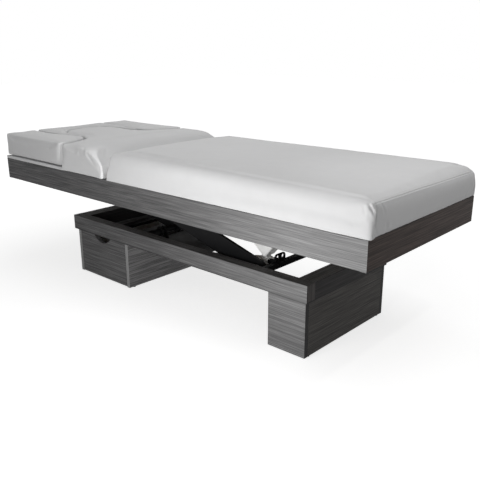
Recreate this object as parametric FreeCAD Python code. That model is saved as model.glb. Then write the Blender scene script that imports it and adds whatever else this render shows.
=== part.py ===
import FreeCAD, Part

import math
import os

# A spa bed: an upholstered top on a steel parallel-arm lift, over a wooden base
# frame that stands on two cabinets. Millimetres, +Z up. X runs along the bed with
# the head end at -X, the side with the drawer is at -Y, and the floor is z = 0.

V = FreeCAD.Vector

# Overall sizes
bed_length = 1950.0
bed_width = 700.0
top_z = 496.0
half_length = bed_length / 2
half_width = bed_width / 2

# Clearances shared by several pieces
cut_over = 2.0
soft_gap = 0.3
slide_gap = 0.4
turn_gap = 0.05
panel_gap = 2.0
edge_parallel_share = 1e-6

# Wooden top frame
apron_height = 93.0
apron_thick = 22.0
platform_thick = 18.0
edge_round = 1.5

# Wooden base frame
base_length = 1311.0
base_width = 508.0
base_centre_x = 53.5
rail_height = 63.5
rail_width = 45.0
end_rail_width = 66.0

# Cabinets
cabinet_height = 202.0
cabinet_panel = 18.0
cabinet_floor_thick = 12.0
cabinet_floor_rise = 6.0
glide_height = 3.0
glide_radius = 11.0
drawer_cabinet_length = 356.0
drawer_cabinet_depth = 488.0
drawer_cabinet_setback = 15.0
foot_cabinet_length = 159.0
foot_cabinet_depth = 500.0
foot_cabinet_setback = 6.0

# Drawer
drawer_wall = 12.0
drawer_bottom_thick = 6.0
drawer_wall_height = 140.0
drawer_rise = 7.0
drawer_back_clear = 22.0
grip_width = 120.0
grip_depth = 32.0

# Telescopic drawer runners
runner_width = 13.0
runner_height = 45.0
runner_sheet = 1.5
runner_lip = 7.5
runner_length = 420.0
runner_rise_share = 0.45

# Parallel-arm lift
arm_length = 560.0
arm_depth = 74.0
head_arm_depth = 48.0
arm_thick = 12.0
arm_rest_deg = 16.0
arm_low_deg = 11.0
arm_high_deg = 42.0
arm_centre_y = 180.0
head_arm_centre_y = 40.0
arm_spacing = 590.0
head_pivot_room = 81.0
pivot_z = 238.5
head_pivot_z = 250.0
pin_radius = 10.0
pin_shoulder_radius = 17.0
pin_depth = 18.0
tube_radius = 24.0
tube_wall = 4.0
shaft_radius = 13.0
shaft_wall = 5.0
shaft_pin_depth = 30.0

# Steel in the base
side_plate_thick = 6.0
side_plate_drop = 16.0
side_plate_top_inset = 3.5
side_plate_over = 50.0
crossbar_room = 40.0
crossbar_size = 20.0
crossbar_wall = 2.5
crossbar_z = 243.0
cross_bar_width = 40.0
cross_bar_height = 12.0
cross_bar_shares = (0.13, 0.23)
tray_thick = 4.0
tray_z = 190.0
tray_flange = 40.0
tray_reach = 233.0
tray_near_y = -62.0
tray_far_y = 78.0
control_box_size = (150.0, 90.0, 46.0)
control_box_setback = 12.0
control_box_round = 6.0
inlet_size = (24.0, 20.0)
inlet_depth = 14.0

# Steel under the top
top_rail_width = 30.0
top_rail_height = 40.0
top_rail_wall = 2.5
top_rail_setback = 53.0
top_cross_width = 30.0
top_cross_shares = (-1.0, -0.05, 1.0)
bracket_thick = 8.0
bracket_width = 76.0
bracket_foot_radius = 26.0
head_bracket_radius = 20.0
spacer_gap = 0.3
top_pin_space = 3.7

# Linear actuator
lever_length = 100.0
lever_thick = 6.0
lever_eye_radius = 15.0
lever_pin_radius = 5.0
actuator_y = -120.0
rear_pivot_room = 24.0
rear_pivot_z = 256.0
rear_pin_radius = 5.0
rear_ear_thick = 5.0
rear_eye_radius = 12.0
rear_eye_width = 16.0
rear_web_half = 29.0
rear_web_rise = 24.0
rear_web_hole = 7.0
rod_radius = 10.0
rod_eye_radius = 15.0
rod_eye_width = 14.0
rod_slot_clear = 0.45
rod_neck = 24.0
rod_tail = 90.0
outer_tube_radius = 18.0
outer_tube_start = 96.0
rod_bare = 82.0
housing_start = 15.0
housing_length = 92.0
housing_half_width = 24.0
housing_below = 24.0
housing_above = 12.0
housing_round = 7.0
motor_length = 120.0
motor_depth = 60.0
motor_half_width = 30.0
motor_lean_deg = 41.0
motor_room = 16.0
motor_rise = 16.0
motor_neck = 24.0

# Back section: board, hinges and cushions
back_end_x = -220.0
board_thick = 11.7
board_end_gap = 12.0
board_skirt = 10.0
hinge_setback = 11.0
hinge_z = 502.5
knuckle_radius = 6.0
hinge_pin_radius = 3.0
hinge_inset = 55.0
hinge_width = 30.0
hinge_knuckle = 13.4
hinge_leaf_length = 84.0
hinge_leaf_thick = 3.0
hinge_web_half = 3.0
hinge_cut_gap = 1.7

# Cushions
cushion_height = 114.0
cushion_crown = 5.0
cushion_draw = 4.0
mattress_setback = 22.0
least_corner = 2.0
mattress_head_corner = 9.0
mattress_foot_corner = 22.0
mattress_edge = 26.0
mattress_tuck = 3.0
mattress_head_lean = -3.0
mattress_foot_lean = 6.0
back_corner = 7.0
back_edge = 14.0
back_tuck = 2.5
back_roll = 200.0
back_roll_power = 2.6
seam_gap = 3.0
pad_rise = 5.0
pad_edge = 9.0
pad_crown = 3.0
pad_corner = 24.0
pad_head_corner = 12.0
pad_outer_tuck = 2.0
pad_head_tuck = 1.0
face_edge = 8.0
dowel_radius = 6.0
dowel_clear = 0.1
dowel_foot_radius = 14.0
pad_dowel_shares = ((0.16, 0.78), (0.50, 0.74))
face_dowel_shares = ((0.06, -0.22), (0.06, 0.22))

# Plan shares of the back section: x from the head end over its length, y over half the width
pad_inner_shares = (
    (0.616, 0.905), (0.590, 0.774), (0.553, 0.646), (0.510, 0.503), (0.462, 0.477),
    (0.370, 0.497), (0.270, 0.535), (0.150, 0.552), (0.032, 0.552),
)
shoulder_share = 0.6200
tongue_tip_share = 0.122
tongue_half_share = 0.415
tongue_neck_share = 0.452
face_tip_share = 0.440
edge_turn_shares = ((1.0, 0.0), (0.62, 0.08), (0.29, 0.29), (0.08, 0.62), (0.0, 1.0))
crown_shares = ((0.62, 0.66), (1.0, 0.30))
back_level_shares = (0.28, 0.46, 0.60, 0.71, 0.80)

# Places worked out from the sizes above
apron_bottom_z = top_z - apron_height
platform_bottom_z = top_z - platform_thick
base_head_x = base_centre_x - base_length / 2
base_foot_x = base_centre_x + base_length / 2
base_half_width = base_width / 2
rail_bottom_z = cabinet_height
rail_top_z = rail_bottom_z + rail_height
rail_inner_y = base_half_width - rail_width
plate_inner_y = rail_inner_y - side_plate_thick
arm_inner_y = arm_centre_y - arm_thick / 2
arm_outer_y = arm_centre_y + arm_thick / 2
head_arm_outer_y = head_arm_centre_y + arm_thick / 2
drawer_head_x = base_head_x + drawer_cabinet_setback
drawer_foot_x = drawer_head_x + drawer_cabinet_length
head_pivot_x = drawer_foot_x + head_pivot_room
foot_pivot_x = head_pivot_x + arm_spacing
crossbar_x = foot_pivot_x + crossbar_room
rear_pivot_x = crossbar_x - rear_pivot_room
tray_end_x = head_pivot_x + tray_reach
control_box_x = drawer_foot_x + tray_thick + control_box_setback
arm_rest = math.radians(arm_rest_deg)
lever_swing = math.radians(arm_high_deg - arm_low_deg) / 2
lever_rest_swing = math.radians((arm_low_deg + arm_high_deg) / 2 - arm_rest_deg)
arm_run = arm_length * math.cos(arm_rest)
arm_rise = arm_length * math.sin(arm_rest)
upper_pivot_z = pivot_z + arm_rise
head_upper_z = head_pivot_z + arm_rise
foot_upper_x = foot_pivot_x - arm_run
head_upper_x = head_pivot_x - arm_run
board_bottom_z = top_z + soft_gap
board_top_z = board_bottom_z + board_thick
face_bottom_z = board_top_z + soft_gap
cushion_top_z = top_z + cushion_height
section_length = half_length + back_end_x
shoulder_x = section_length * shoulder_share - half_length
hinge_x = back_end_x + hinge_setback
hinge_centre_y = half_width - hinge_inset
mattress_head_x = back_end_x + mattress_setback
top_rail_length = bed_length - 2 * (apron_thick + top_rail_setback)
drawer_half_depth = drawer_cabinet_depth / 2
foot_cabinet_foot_x = base_foot_x - foot_cabinet_setback
foot_cabinet_head_x = foot_cabinet_foot_x - foot_cabinet_length
foot_half_depth = foot_cabinet_depth / 2
top_steel_low = platform_bottom_z - top_rail_height


def box(low, high):
    """A box between two corners."""
    size = high.sub(low)
    return Part.makeBox(size.x, size.y, size.z, low)


def span(x0, x1, y0, y1, z0, z1):
    """A box from its limits along each axis."""
    return box(V(min(x0, x1), min(y0, y1), min(z0, z1)), V(max(x0, x1), max(y0, y1), max(z0, z1)))


def rod_y(x, z, radius, y0, y1):
    """A round bar along Y."""
    return Part.makeCylinder(radius, abs(y1 - y0), V(x, min(y0, y1), z), V(0, 1, 0))


def rod_z(x, y, radius, z0, z1):
    """A round bar along Z."""
    return Part.makeCylinder(radius, abs(z1 - z0), V(x, y, min(z0, z1)), V(0, 0, 1))


def tube_y(x, z, radius, wall, y0, y1):
    """A round tube along Y."""
    bore = rod_y(x, z, radius - wall, min(y0, y1) - cut_over, max(y0, y1) + cut_over)
    return rod_y(x, z, radius, y0, y1).cut(bore)


def link_y(start, end, half_depth, y0, y1):
    """A flat bar with round ends about two (x, z) centres."""
    run = V(end[0] - start[0], 0, end[1] - start[1])
    side = V(-run.z, 0, run.x)
    side.normalize()
    side.multiply(half_depth)
    ahead = V(run)
    ahead.normalize()
    ahead.multiply(half_depth)
    low = min(y0, y1)
    first = V(start[0], low, start[1])
    last = V(end[0], low, end[1])
    edges = [
        Part.LineSegment(first.add(side), last.add(side)).toShape(),
        Part.Arc(last.add(side), last.add(ahead), last.sub(side)).toShape(),
        Part.LineSegment(last.sub(side), first.sub(side)).toShape(),
        Part.Arc(first.sub(side), first.sub(ahead), first.add(side)).toShape(),
    ]
    return Part.Face(Part.Wire(edges)).extrude(V(0, abs(y1 - y0), 0))


def hollow_bar(low, high, wall, along):
    """A square tube with open ends; along is the axis letter of its length."""
    walls = {axis: 0 if axis == along else wall for axis in "xyz"}
    over = {axis: cut_over if axis == along else 0 for axis in "xyz"}
    inner_low = V(*(getattr(low, a) + walls[a] - over[a] for a in "xyz"))
    inner_high = V(*(getattr(high, a) - walls[a] + over[a] for a in "xyz"))
    return box(low, high).cut(box(inner_low, inner_high))


def soften(solid, radius, chosen):
    """Round the straight edges that the test picks out."""
    edges = [edge for edge in solid.Edges if chosen(edge)]
    return solid.makeFillet(radius, edges) if edges else solid


def along_axis(edge, direction):
    """True where a straight edge runs along a direction."""
    if len(edge.Vertexes) < 2:
        return False
    run = edge.Vertexes[1].Point.sub(edge.Vertexes[0].Point)
    return run.Length > 0 and run.cross(direction).Length < run.Length * edge_parallel_share


def wood_panel(x0, x1, y0, y1, z0, z1):
    """A laminated board with its long outer edges eased."""
    solid = span(x0, x1, y0, y1, z0, z1)
    lengths = {"x": abs(x1 - x0), "y": abs(y1 - y0), "z": abs(z1 - z0)}
    longest = max(lengths, key=lengths.get)
    direction = {"x": V(1, 0, 0), "y": V(0, 1, 0), "z": V(0, 0, 1)}[longest]
    return soften(solid, edge_round, lambda edge: along_axis(edge, direction))


def both_sides(make):
    """The pieces made for the near side (-1) and the far side (+1)."""
    return [make(-1), make(1)]


def arc_tangents(start, middle, end):
    """Directions of travel at both ends of an arc through three points."""
    def inverted(point, about):
        out = point.sub(about)
        return out.multiply(1 / (out.Length * out.Length))
    first = inverted(middle, start).sub(inverted(end, start))
    last = inverted(start, end).sub(inverted(middle, end))
    first.normalize()
    last.normalize()
    return first, last


def inward(direction):
    """The left-hand normal of a direction of travel in plan."""
    return V(-direction.y, direction.x, 0)


def is_tight(start, middle, end, depth):
    """True where a corner's arc turns left with too small a radius for the inset."""
    first = middle.sub(start)
    last = end.sub(middle)
    turn = first.cross(last).z
    if turn <= 0:
        return False
    radius = first.Length * last.Length * end.sub(start).Length / (2 * turn)
    return radius < depth + least_corner


def tight_corner(start, end, before, after):
    """The least corner between two directions of travel: its start, middle and end."""
    across = before.cross(after).z
    reach = end.sub(start).cross(after).z / across
    tip = start.add(V(before).multiply(reach))
    half = math.atan2(across, before.dot(after)) / 2
    trim = least_corner * math.tan(half)
    first = tip.sub(V(before).multiply(trim))
    last = tip.add(V(after).multiply(trim))
    heart = first.add(inward(before).multiply(least_corner))
    out = tip.sub(heart)
    out.normalize()
    return first, heart.add(out.multiply(least_corner)), last


def inset_outline(outline, depth):
    """Move each point of a closed plan outline inwards; the outline runs anticlockwise."""
    count = len(outline)
    tangents = []
    for index, (start, middle) in enumerate(outline):
        end = outline[(index + 1) % count][0]
        if middle is None:
            run = end.sub(start)
            run.normalize()
            tangents.append((run, run))
        else:
            tangents.append(arc_tangents(start, middle, end))
    moved = []
    for index, (start, middle) in enumerate(outline):
        before = inward(tangents[index - 1][1])
        after = inward(tangents[index][0])
        push = before.add(after).multiply(depth / (1 + before.dot(after)))
        centre = None
        if middle is not None:
            chord = outline[(index + 1) % count][0].sub(start)
            chord.normalize()
            centre = middle.add(inward(chord).multiply(depth))
        moved.append((start.add(push), centre))
    for index, (start, middle) in enumerate(outline):
        following = (index + 1) % count
        if middle is not None and is_tight(start, middle, outline[following][0], depth):
            corner = tight_corner(moved[index][0], moved[following][0], *tangents[index])
            moved[index] = corner[:2]
            moved[following] = (corner[2], moved[following][1])
    return moved


def outline_wire(outline, z):
    """The closed wire of a plan outline at a height."""
    edges = []
    count = len(outline)
    for index, (start, middle) in enumerate(outline):
        first = V(start.x, start.y, z)
        end = outline[(index + 1) % count][0]
        last = V(end.x, end.y, z)
        if middle is None:
            edges.append(Part.LineSegment(first, last).toShape())
        else:
            edges.append(Part.Arc(first, V(middle.x, middle.y, z), last).toShape())
    return Part.Wire(edges)


def padded_solid(outline_at, bottom_z, shoulder_z, edge, crown, tuck, centre=None, level_shares=()):
    """A cushion: tucked in at its foot, rounded over its top edge, and crowned.

    outline_at(height share) gives the plan outline, which level_shares follow between the
    foot and the top edge; the crown shrinks about centre.
    """
    height = shoulder_z - bottom_z
    wires = [outline_wire(inset_outline(outline_at(0), tuck), bottom_z)]
    wires.append(outline_wire(outline_at(tuck / height), bottom_z + tuck))
    for share in level_shares:
        wires.append(outline_wire(outline_at(share), bottom_z + height * share))
    for drop_share, in_share in edge_turn_shares:
        z = shoulder_z - edge * drop_share
        level = inset_outline(outline_at((z - bottom_z) / height), edge * in_share)
        wires.append(outline_wire(level, z))
    if centre is not None:
        last = inset_outline(outline_at(1), edge)
        for rise_share, size_share in crown_shares:
            level = []
            for start, middle in last:
                shrunk = centre.add(start.sub(centre).multiply(size_share))
                bent = None if middle is None else centre.add(middle.sub(centre).multiply(size_share))
                level.append((shrunk, bent))
            wires.append(outline_wire(level, shoulder_z + crown * rise_share))
    return Part.makeLoft(wires, True, True)


def drawn_in_corners(x0, x1, y0, y1, corner0, corner1, draw):
    """A rectangle in plan with round corners at x0 and x1, whose sides pull in between them."""
    k0 = corner0 * (1 - math.sqrt(0.5))
    k1 = corner1 * (1 - math.sqrt(0.5))
    xm = (x0 + x1) / 2
    ym = (y0 + y1) / 2
    return [
        (V(x0 + corner0, y0, 0), V(xm, y0 + draw, 0)),
        (V(x1 - corner1, y0, 0), V(x1 - k1, y0 + k1, 0)),
        (V(x1, y0 + corner1, 0), V(x1 - draw, ym, 0)),
        (V(x1, y1 - corner1, 0), V(x1 - k1, y1 - k1, 0)),
        (V(x1 - corner1, y1, 0), V(xm, y1 - draw, 0)),
        (V(x0 + corner0, y1, 0), V(x0 + k0, y1 - k0, 0)),
        (V(x0, y1 - corner0, 0), V(x0 + draw, ym, 0)),
        (V(x0, y0 + corner0, 0), V(x0 + k0, y0 + k0, 0)),
    ]


def section_point(x_share, y_share):
    """A plan point of the back section from its shares."""
    return V(-half_length + section_length * x_share, half_width * y_share, 0)


def mirrored(outline):
    """The outline on the other side of the bed, still anticlockwise."""
    count = len(outline)
    flipped = []
    for index in range(count):
        start = outline[-index % count][0]
        middle = outline[(-index - 1) % count][1]
        bent = None if middle is None else V(middle.x, -middle.y, 0)
        flipped.append((V(start.x, -start.y, 0), bent))
    return flipped


def base_frame():
    """Four rails: the long ones run through and the end ones sit between them."""
    inner = rail_inner_y
    return {
        "base_rail_front": wood_panel(base_head_x, base_foot_x, -base_half_width, -inner,
                                      rail_bottom_z, rail_top_z),
        "base_rail_rear": wood_panel(base_head_x, base_foot_x, inner, base_half_width,
                                     rail_bottom_z, rail_top_z),
        "base_rail_head": wood_panel(base_head_x, base_head_x + end_rail_width, -inner, inner,
                                     rail_bottom_z, rail_top_z),
        "base_rail_foot": wood_panel(base_foot_x - end_rail_width, base_foot_x, -inner, inner,
                                     rail_bottom_z, rail_top_z),
    }


def drawer_cabinet():
    """The cabinet under the head end, open to the front for its drawer."""
    head = drawer_head_x
    foot = drawer_foot_x
    deep = drawer_half_depth
    low = glide_height
    floor_low = low + cabinet_floor_rise
    inner_head = head + cabinet_panel
    inner_foot = foot - cabinet_panel
    front = -deep + cabinet_panel + panel_gap
    return {
        "drawer_cabinet_side_head": wood_panel(head, inner_head, -deep, deep, low, cabinet_height),
        "drawer_cabinet_side_foot": wood_panel(inner_foot, foot, -deep, deep, low, cabinet_height),
        "drawer_cabinet_back": wood_panel(inner_head, inner_foot, deep - cabinet_panel, deep,
                                          low, cabinet_height),
        "drawer_cabinet_floor": wood_panel(inner_head, inner_foot, front, deep - cabinet_panel,
                                           floor_low, floor_low + cabinet_floor_thick),
    }


def foot_cabinet():
    """The closed cabinet under the foot end."""
    head = foot_cabinet_head_x
    foot = foot_cabinet_foot_x
    deep = foot_half_depth
    low = glide_height
    inner_head = head + cabinet_panel
    inner_foot = foot - cabinet_panel
    inner_deep = deep - cabinet_panel
    return {
        "foot_cabinet_inner_side": wood_panel(head, inner_head, -inner_deep, inner_deep,
                                              low, cabinet_height),
        "foot_cabinet_outer_side": wood_panel(inner_foot, foot, -inner_deep, inner_deep,
                                              low, cabinet_height),
        "foot_cabinet_front": wood_panel(head, foot, -deep, -inner_deep, low, cabinet_height),
        "foot_cabinet_rear": wood_panel(head, foot, inner_deep, deep, low, cabinet_height),
        "foot_cabinet_floor": wood_panel(inner_head, inner_foot, -inner_deep, inner_deep,
                                         low, low + cabinet_floor_thick),
    }


def floor_glides():
    """Round glides under the ends of the cabinets' side panels."""
    glides = []
    cabinets = (
        (drawer_head_x, drawer_foot_x, drawer_half_depth),
        (foot_cabinet_head_x, foot_cabinet_foot_x, foot_half_depth),
    )
    half_panel = cabinet_panel / 2
    for head, foot, deep in cabinets:
        for x in (head + half_panel, foot - half_panel):
            for side in (-1, 1):
                y = side * (deep - glide_radius - cabinet_panel)
                glides.append(rod_z(x, y, min(glide_radius, half_panel - edge_round), 0, glide_height))
    return glides


def drawer():
    """The drawer box behind its front; the front has a half-moon finger grip."""
    inner_head = drawer_head_x + cabinet_panel
    inner_foot = drawer_foot_x - cabinet_panel
    front_y = -drawer_half_depth
    box_front = front_y + cabinet_panel
    box_back = drawer_half_depth - cabinet_panel - drawer_back_clear
    floor_top = glide_height + cabinet_floor_rise + cabinet_floor_thick
    low = floor_top + drawer_rise
    high = low + drawer_wall_height
    side_head = inner_head + runner_width
    side_foot = inner_foot - runner_width
    middle_x = (drawer_head_x + drawer_foot_x) / 2
    front_top = cabinet_height - panel_gap
    front = wood_panel(inner_head + panel_gap, inner_foot - panel_gap, front_y, box_front,
                       glide_height + panel_gap, front_top)
    grip_radius = ((grip_width / 2) ** 2 + grip_depth ** 2) / (2 * grip_depth)
    grip = rod_y(middle_x, front_top - grip_depth + grip_radius, grip_radius,
                 front_y - cut_over, box_front + cut_over)
    return {
        "drawer_front": front.cut(grip),
        "drawer_side_head": span(side_head, side_head + drawer_wall, box_front, box_back, low, high),
        "drawer_side_foot": span(side_foot - drawer_wall, side_foot, box_front, box_back, low, high),
        "drawer_back": span(side_head + drawer_wall, side_foot - drawer_wall,
                            box_back - drawer_wall, box_back, low + drawer_bottom_thick, high),
        "drawer_bottom": span(side_head + drawer_wall, side_foot - drawer_wall,
                              box_front, box_back, low, low + drawer_bottom_thick),
    }


def runner_member(wall_x, turn, offset, lip, y0, half_height, sheet):
    """A C-shaped rail on a side wall; turn is the direction from the wall to the drawer."""
    z = drawer_runner_z()
    back = wall_x + turn * offset
    channel = span(back, back + turn * lip, y0, y0 + runner_length, z - half_height, z + half_height)
    hollow = span(back + turn * sheet, back + turn * (lip + cut_over), y0 - cut_over,
                  y0 + runner_length + cut_over, z - half_height + sheet, z + half_height - sheet)
    return channel.cut(hollow)


def drawer_runner_z():
    """The height of the runners' centre line."""
    low = glide_height + cabinet_floor_rise + cabinet_floor_thick + drawer_rise
    return low + drawer_wall_height * runner_rise_share


def runners():
    """Outer rails on the cabinet, middle rails between, inner rails on the drawer."""
    y0 = -drawer_half_depth + cabinet_panel + 2 * panel_gap
    walls = ((drawer_head_x + cabinet_panel, 1), (drawer_foot_x - cabinet_panel, -1))
    half = runner_height / 2
    step = runner_sheet + slide_gap
    outer = [runner_member(x, turn, 0, runner_lip, y0, half, runner_sheet) for x, turn in walls]
    middle = [runner_member(x, turn, step, runner_lip, y0, half - step, runner_sheet)
              for x, turn in walls]
    inner = []
    z = drawer_runner_z()
    for x, turn in walls:
        low_x = x + turn * 2 * step
        high_x = x + turn * runner_width
        reach = half - 2 * step
        inner.append(span(low_x, high_x, y0, y0 + runner_length, z - reach, z + reach))
    return {
        "runner_outer_members": outer,
        "runner_middle_members": middle,
        "runner_inner_members": inner,
    }


def stub_pin(x, z, plate_y_face, side, outer_y):
    """A shouldered pin that stands inwards from a plate's face and carries an arm."""
    shoulder_end = side * (outer_y + spacer_gap)
    return rod_y(x, z, pin_shoulder_radius, plate_y_face, shoulder_end).fuse(
        rod_y(x, z, pin_radius, shoulder_end, side * (outer_y - pin_depth)))


def base_steel():
    """Side plates with the lower pivots, cross bars, the actuator's crossbar and the tray."""
    plate_top = rail_top_z - side_plate_top_inset
    plate_head = head_pivot_x - side_plate_over
    plate_foot = crossbar_x + crossbar_size + side_plate_thick
    plates = []
    for side in (-1, 1):
        y0 = side * plate_inner_y
        y1 = side * rail_inner_y
        strip = span(plate_head, plate_foot, y0, y1, rail_bottom_z, plate_top)
        lug = span(plate_head, tray_end_x, y0, y1, rail_bottom_z - side_plate_drop, plate_top)
        plates.append(strip.fuse(lug).removeSplitter())
    pins = []
    for side in (-1, 1):
        face = side * plate_inner_y
        pins.append(stub_pin(foot_pivot_x, pivot_z, face, side, arm_outer_y))
        pins.append(rod_y(head_pivot_x, head_pivot_z, shaft_radius - shaft_wall - turn_gap,
                          face, side * (plate_inner_y - shaft_pin_depth)))
    bars = []
    for share in cross_bar_shares:
        x = base_head_x + base_length * share
        bars.append(span(x - cross_bar_width / 2, x + cross_bar_width / 2, -rail_inner_y, rail_inner_y,
                         rail_bottom_z, rail_bottom_z + cross_bar_height))
    crossbar = hollow_bar(V(crossbar_x, -plate_inner_y, crossbar_z),
                          V(crossbar_x + crossbar_size, plate_inner_y, crossbar_z + crossbar_size),
                          crossbar_wall, "y")
    tray = span(drawer_foot_x, tray_end_x, tray_near_y, tray_far_y, tray_z, tray_z + tray_thick)
    flange = span(drawer_foot_x, drawer_foot_x + tray_thick, tray_near_y, tray_far_y,
                  tray_z - tray_flange, tray_z + tray_thick)
    return {
        "base_side_plates": plates,
        "lower_pivot_pins": pins,
        "base_cross_bars": bars,
        "actuator_crossbar": [crossbar],
        "base_tray": [tray.fuse(flange).removeSplitter()],
    }


def control_box():
    """The lift's control box hung under the tray, with a bare mains inlet at its foot end."""
    length, width, height = control_box_size
    x0 = control_box_x
    y0 = -width / 2
    z0 = tray_z - height
    shell = span(x0, x0 + length, y0, y0 + width, z0, z0 + height)
    shell = soften(shell, control_box_round, lambda edge: along_axis(edge, V(0, 0, 1)))
    inlet_width, inlet_height = inlet_size
    middle_y = y0 + width / 2
    middle_z = z0 + height / 2
    recess = span(x0 + length - inlet_depth, x0 + length + cut_over,
                  middle_y - inlet_width / 2, middle_y + inlet_width / 2,
                  middle_z - inlet_height / 2, middle_z + inlet_height / 2)
    return shell.cut(recess)


def lift_arm(lower, depth, centre_y, lower_bore):
    """One flat arm from its lower pivot up towards the head end, at a place across the bed."""
    upper = (lower[0] - arm_run, lower[1] + arm_rise)
    y0 = centre_y - arm_thick / 2
    y1 = centre_y + arm_thick / 2
    arm = link_y(lower, upper, depth / 2, y0, y1)
    for (x, z), bore in ((lower, lower_bore), (upper, pin_radius + turn_gap)):
        arm = arm.cut(rod_y(x, z, bore, y0 - cut_over, y1 + cut_over))
    return arm


def foot_arm(side):
    """A wide arm at the foot end, turning on a stub pin."""
    return lift_arm((foot_pivot_x, pivot_z), arm_depth, side * arm_centre_y, pin_radius + turn_gap)


def head_arm(side):
    """A narrow arm near the middle of the bed, fixed on the torque shaft."""
    return lift_arm((head_pivot_x, head_pivot_z), head_arm_depth, side * head_arm_centre_y, shaft_radius)


def actuator_slope():
    """The actuator's slope: it meets the lever square at the middle of its swing."""
    run = rear_pivot_x - head_pivot_x
    rise = rear_pivot_z - head_pivot_z
    return math.atan2(rise, run) + math.asin(lever_length / math.hypot(run, rise))


def actuator_reach():
    """The distance from the rear pivot to the lever pin at rest, along the axis."""
    run = rear_pivot_x - head_pivot_x
    rise = rear_pivot_z - head_pivot_z
    square = math.sqrt(run * run + rise * rise - lever_length * lever_length)
    return square - lever_length * math.sin(lever_rest_swing)


def lever_end():
    """The lever pin's centre at rest."""
    lean = actuator_slope() + lever_rest_swing
    return head_pivot_x + lever_length * math.sin(lean), head_pivot_z - lever_length * math.cos(lean)


def lift_lever():
    """Two lever plates on the torque shaft, and the pin across their ends."""
    end_x, end_z = lever_end()
    plates = []
    for side in (-1, 1):
        y0 = actuator_y + side * (rod_eye_width / 2 + slide_gap)
        y1 = y0 + side * lever_thick
        plate = link_y((head_pivot_x, head_pivot_z), (end_x, end_z), lever_eye_radius, y0, y1)
        cheek = rod_y(head_pivot_x, head_pivot_z, shaft_radius + lever_thick, y0, y1)
        clear = rod_y(head_pivot_x, head_pivot_z, shaft_radius, min(y0, y1) - cut_over,
                      max(y0, y1) + cut_over)
        hole = rod_y(end_x, end_z, lever_pin_radius, min(y0, y1) - cut_over, max(y0, y1) + cut_over)
        plates.append(plate.fuse(cheek).removeSplitter().cut(clear).cut(hole))
    reach = rod_eye_width / 2 + slide_gap + lever_thick
    pin = rod_y(end_x, end_z, lever_pin_radius, actuator_y - reach, actuator_y + reach)
    return plates + [pin]


def lift_arms():
    """Foot arms with their cross tube, and head arms with the torque shaft and lever."""
    shaft_half = plate_inner_y - spacer_gap
    return {
        "foot_arm_near": [foot_arm(-1)],
        "foot_arm_far": [foot_arm(1)],
        "foot_arm_cross_tube": [tube_y(foot_upper_x, upper_pivot_z, tube_radius, tube_wall,
                                       -arm_inner_y, arm_inner_y)],
        "head_arm_near": [head_arm(-1)],
        "head_arm_far": [head_arm(1)],
        "head_arm_torque_tube": [tube_y(head_pivot_x, head_pivot_z, shaft_radius, shaft_wall,
                                        -shaft_half, shaft_half)],
        "lift_lever": lift_lever(),
    }


def laid_on_axis(shape):
    """Turn a piece built along -X onto the actuator's axis, from the rear pivot."""
    placed = shape.copy()
    placed.rotate(V(0, 0, 0), V(0, 1, 0), -math.degrees(actuator_slope()))
    placed.translate(V(rear_pivot_x, actuator_y, rear_pivot_z))
    return placed


def along_rod(start, end, radius):
    """A round bar along the actuator's axis, in its own frame."""
    return Part.makeCylinder(radius, end - start, V(-start, 0, 0), V(-1, 0, 0))


def rear_bracket():
    """The plate on the crossbar with two ears for the rear pivot and an eased top, and the pin."""
    half_eye = rear_eye_width / 2
    ears = []
    for side in (-1, 1):
        y0 = actuator_y + side * (half_eye + slide_gap)
        y1 = y0 + side * rear_ear_thick
        ear = link_y((rear_pivot_x, rear_pivot_z), (crossbar_x - rear_eye_radius, rear_pivot_z),
                     rear_eye_radius, y0, y1)
        ears.append(ear)
    ear_y = half_eye + slide_gap + rear_ear_thick
    web_top = crossbar_z + crossbar_size + rear_web_rise
    web_middle = actuator_y + rear_web_half - ear_y
    web = span(crossbar_x - rear_ear_thick, crossbar_x, actuator_y - ear_y,
               web_middle + rear_web_half, rear_pivot_z - rear_eye_radius, web_top)
    web = soften(web, rear_eye_radius, lambda edge: along_axis(edge, V(1, 0, 0))
                 and edge.CenterOfMass.z > web_top - rear_eye_radius)
    for side in (-1, 1):
        hole = Part.makeCylinder(rear_web_hole, rear_ear_thick + 2 * cut_over,
                                 V(crossbar_x - rear_ear_thick - cut_over,
                                   web_middle + side * rear_web_half / 2, web_top - rear_eye_radius),
                                 V(1, 0, 0))
        web = web.cut(hole)
    bracket = web.fuse(ears).removeSplitter()
    pin_hole = rod_y(rear_pivot_x, rear_pivot_z, rear_pin_radius, actuator_y - ear_y - cut_over,
                     actuator_y + ear_y + cut_over)
    pin = rod_y(rear_pivot_x, rear_pivot_z, rear_pin_radius, actuator_y - ear_y, actuator_y + ear_y)
    return [bracket.cut(pin_hole), pin]


def motor_block():
    """The motor's casing, leaning over the gearbox on a neck."""
    lean = math.radians(motor_lean_deg)
    foot = V(rear_pivot_x - motor_room, actuator_y - motor_half_width, rear_pivot_z + motor_rise)
    along = V(-math.cos(lean), 0, math.sin(lean)).multiply(motor_length)
    across = V(math.sin(lean), 0, math.cos(lean)).multiply(motor_depth)
    corners = [foot, foot.add(across), foot.add(across).add(along), foot.add(along)]
    block = Part.Face(Part.makePolygon(corners + corners[:1])).extrude(V(0, 2 * motor_half_width, 0))
    block = soften(block, housing_round, lambda edge: True)
    neck_foot = rear_pivot_x - motor_room
    neck = span(neck_foot - motor_neck, neck_foot, actuator_y - housing_half_width / 2,
                actuator_y + housing_half_width / 2, rear_pivot_z, rear_pivot_z + motor_rise + motor_neck)
    return block.fuse(neck).removeSplitter()


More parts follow.
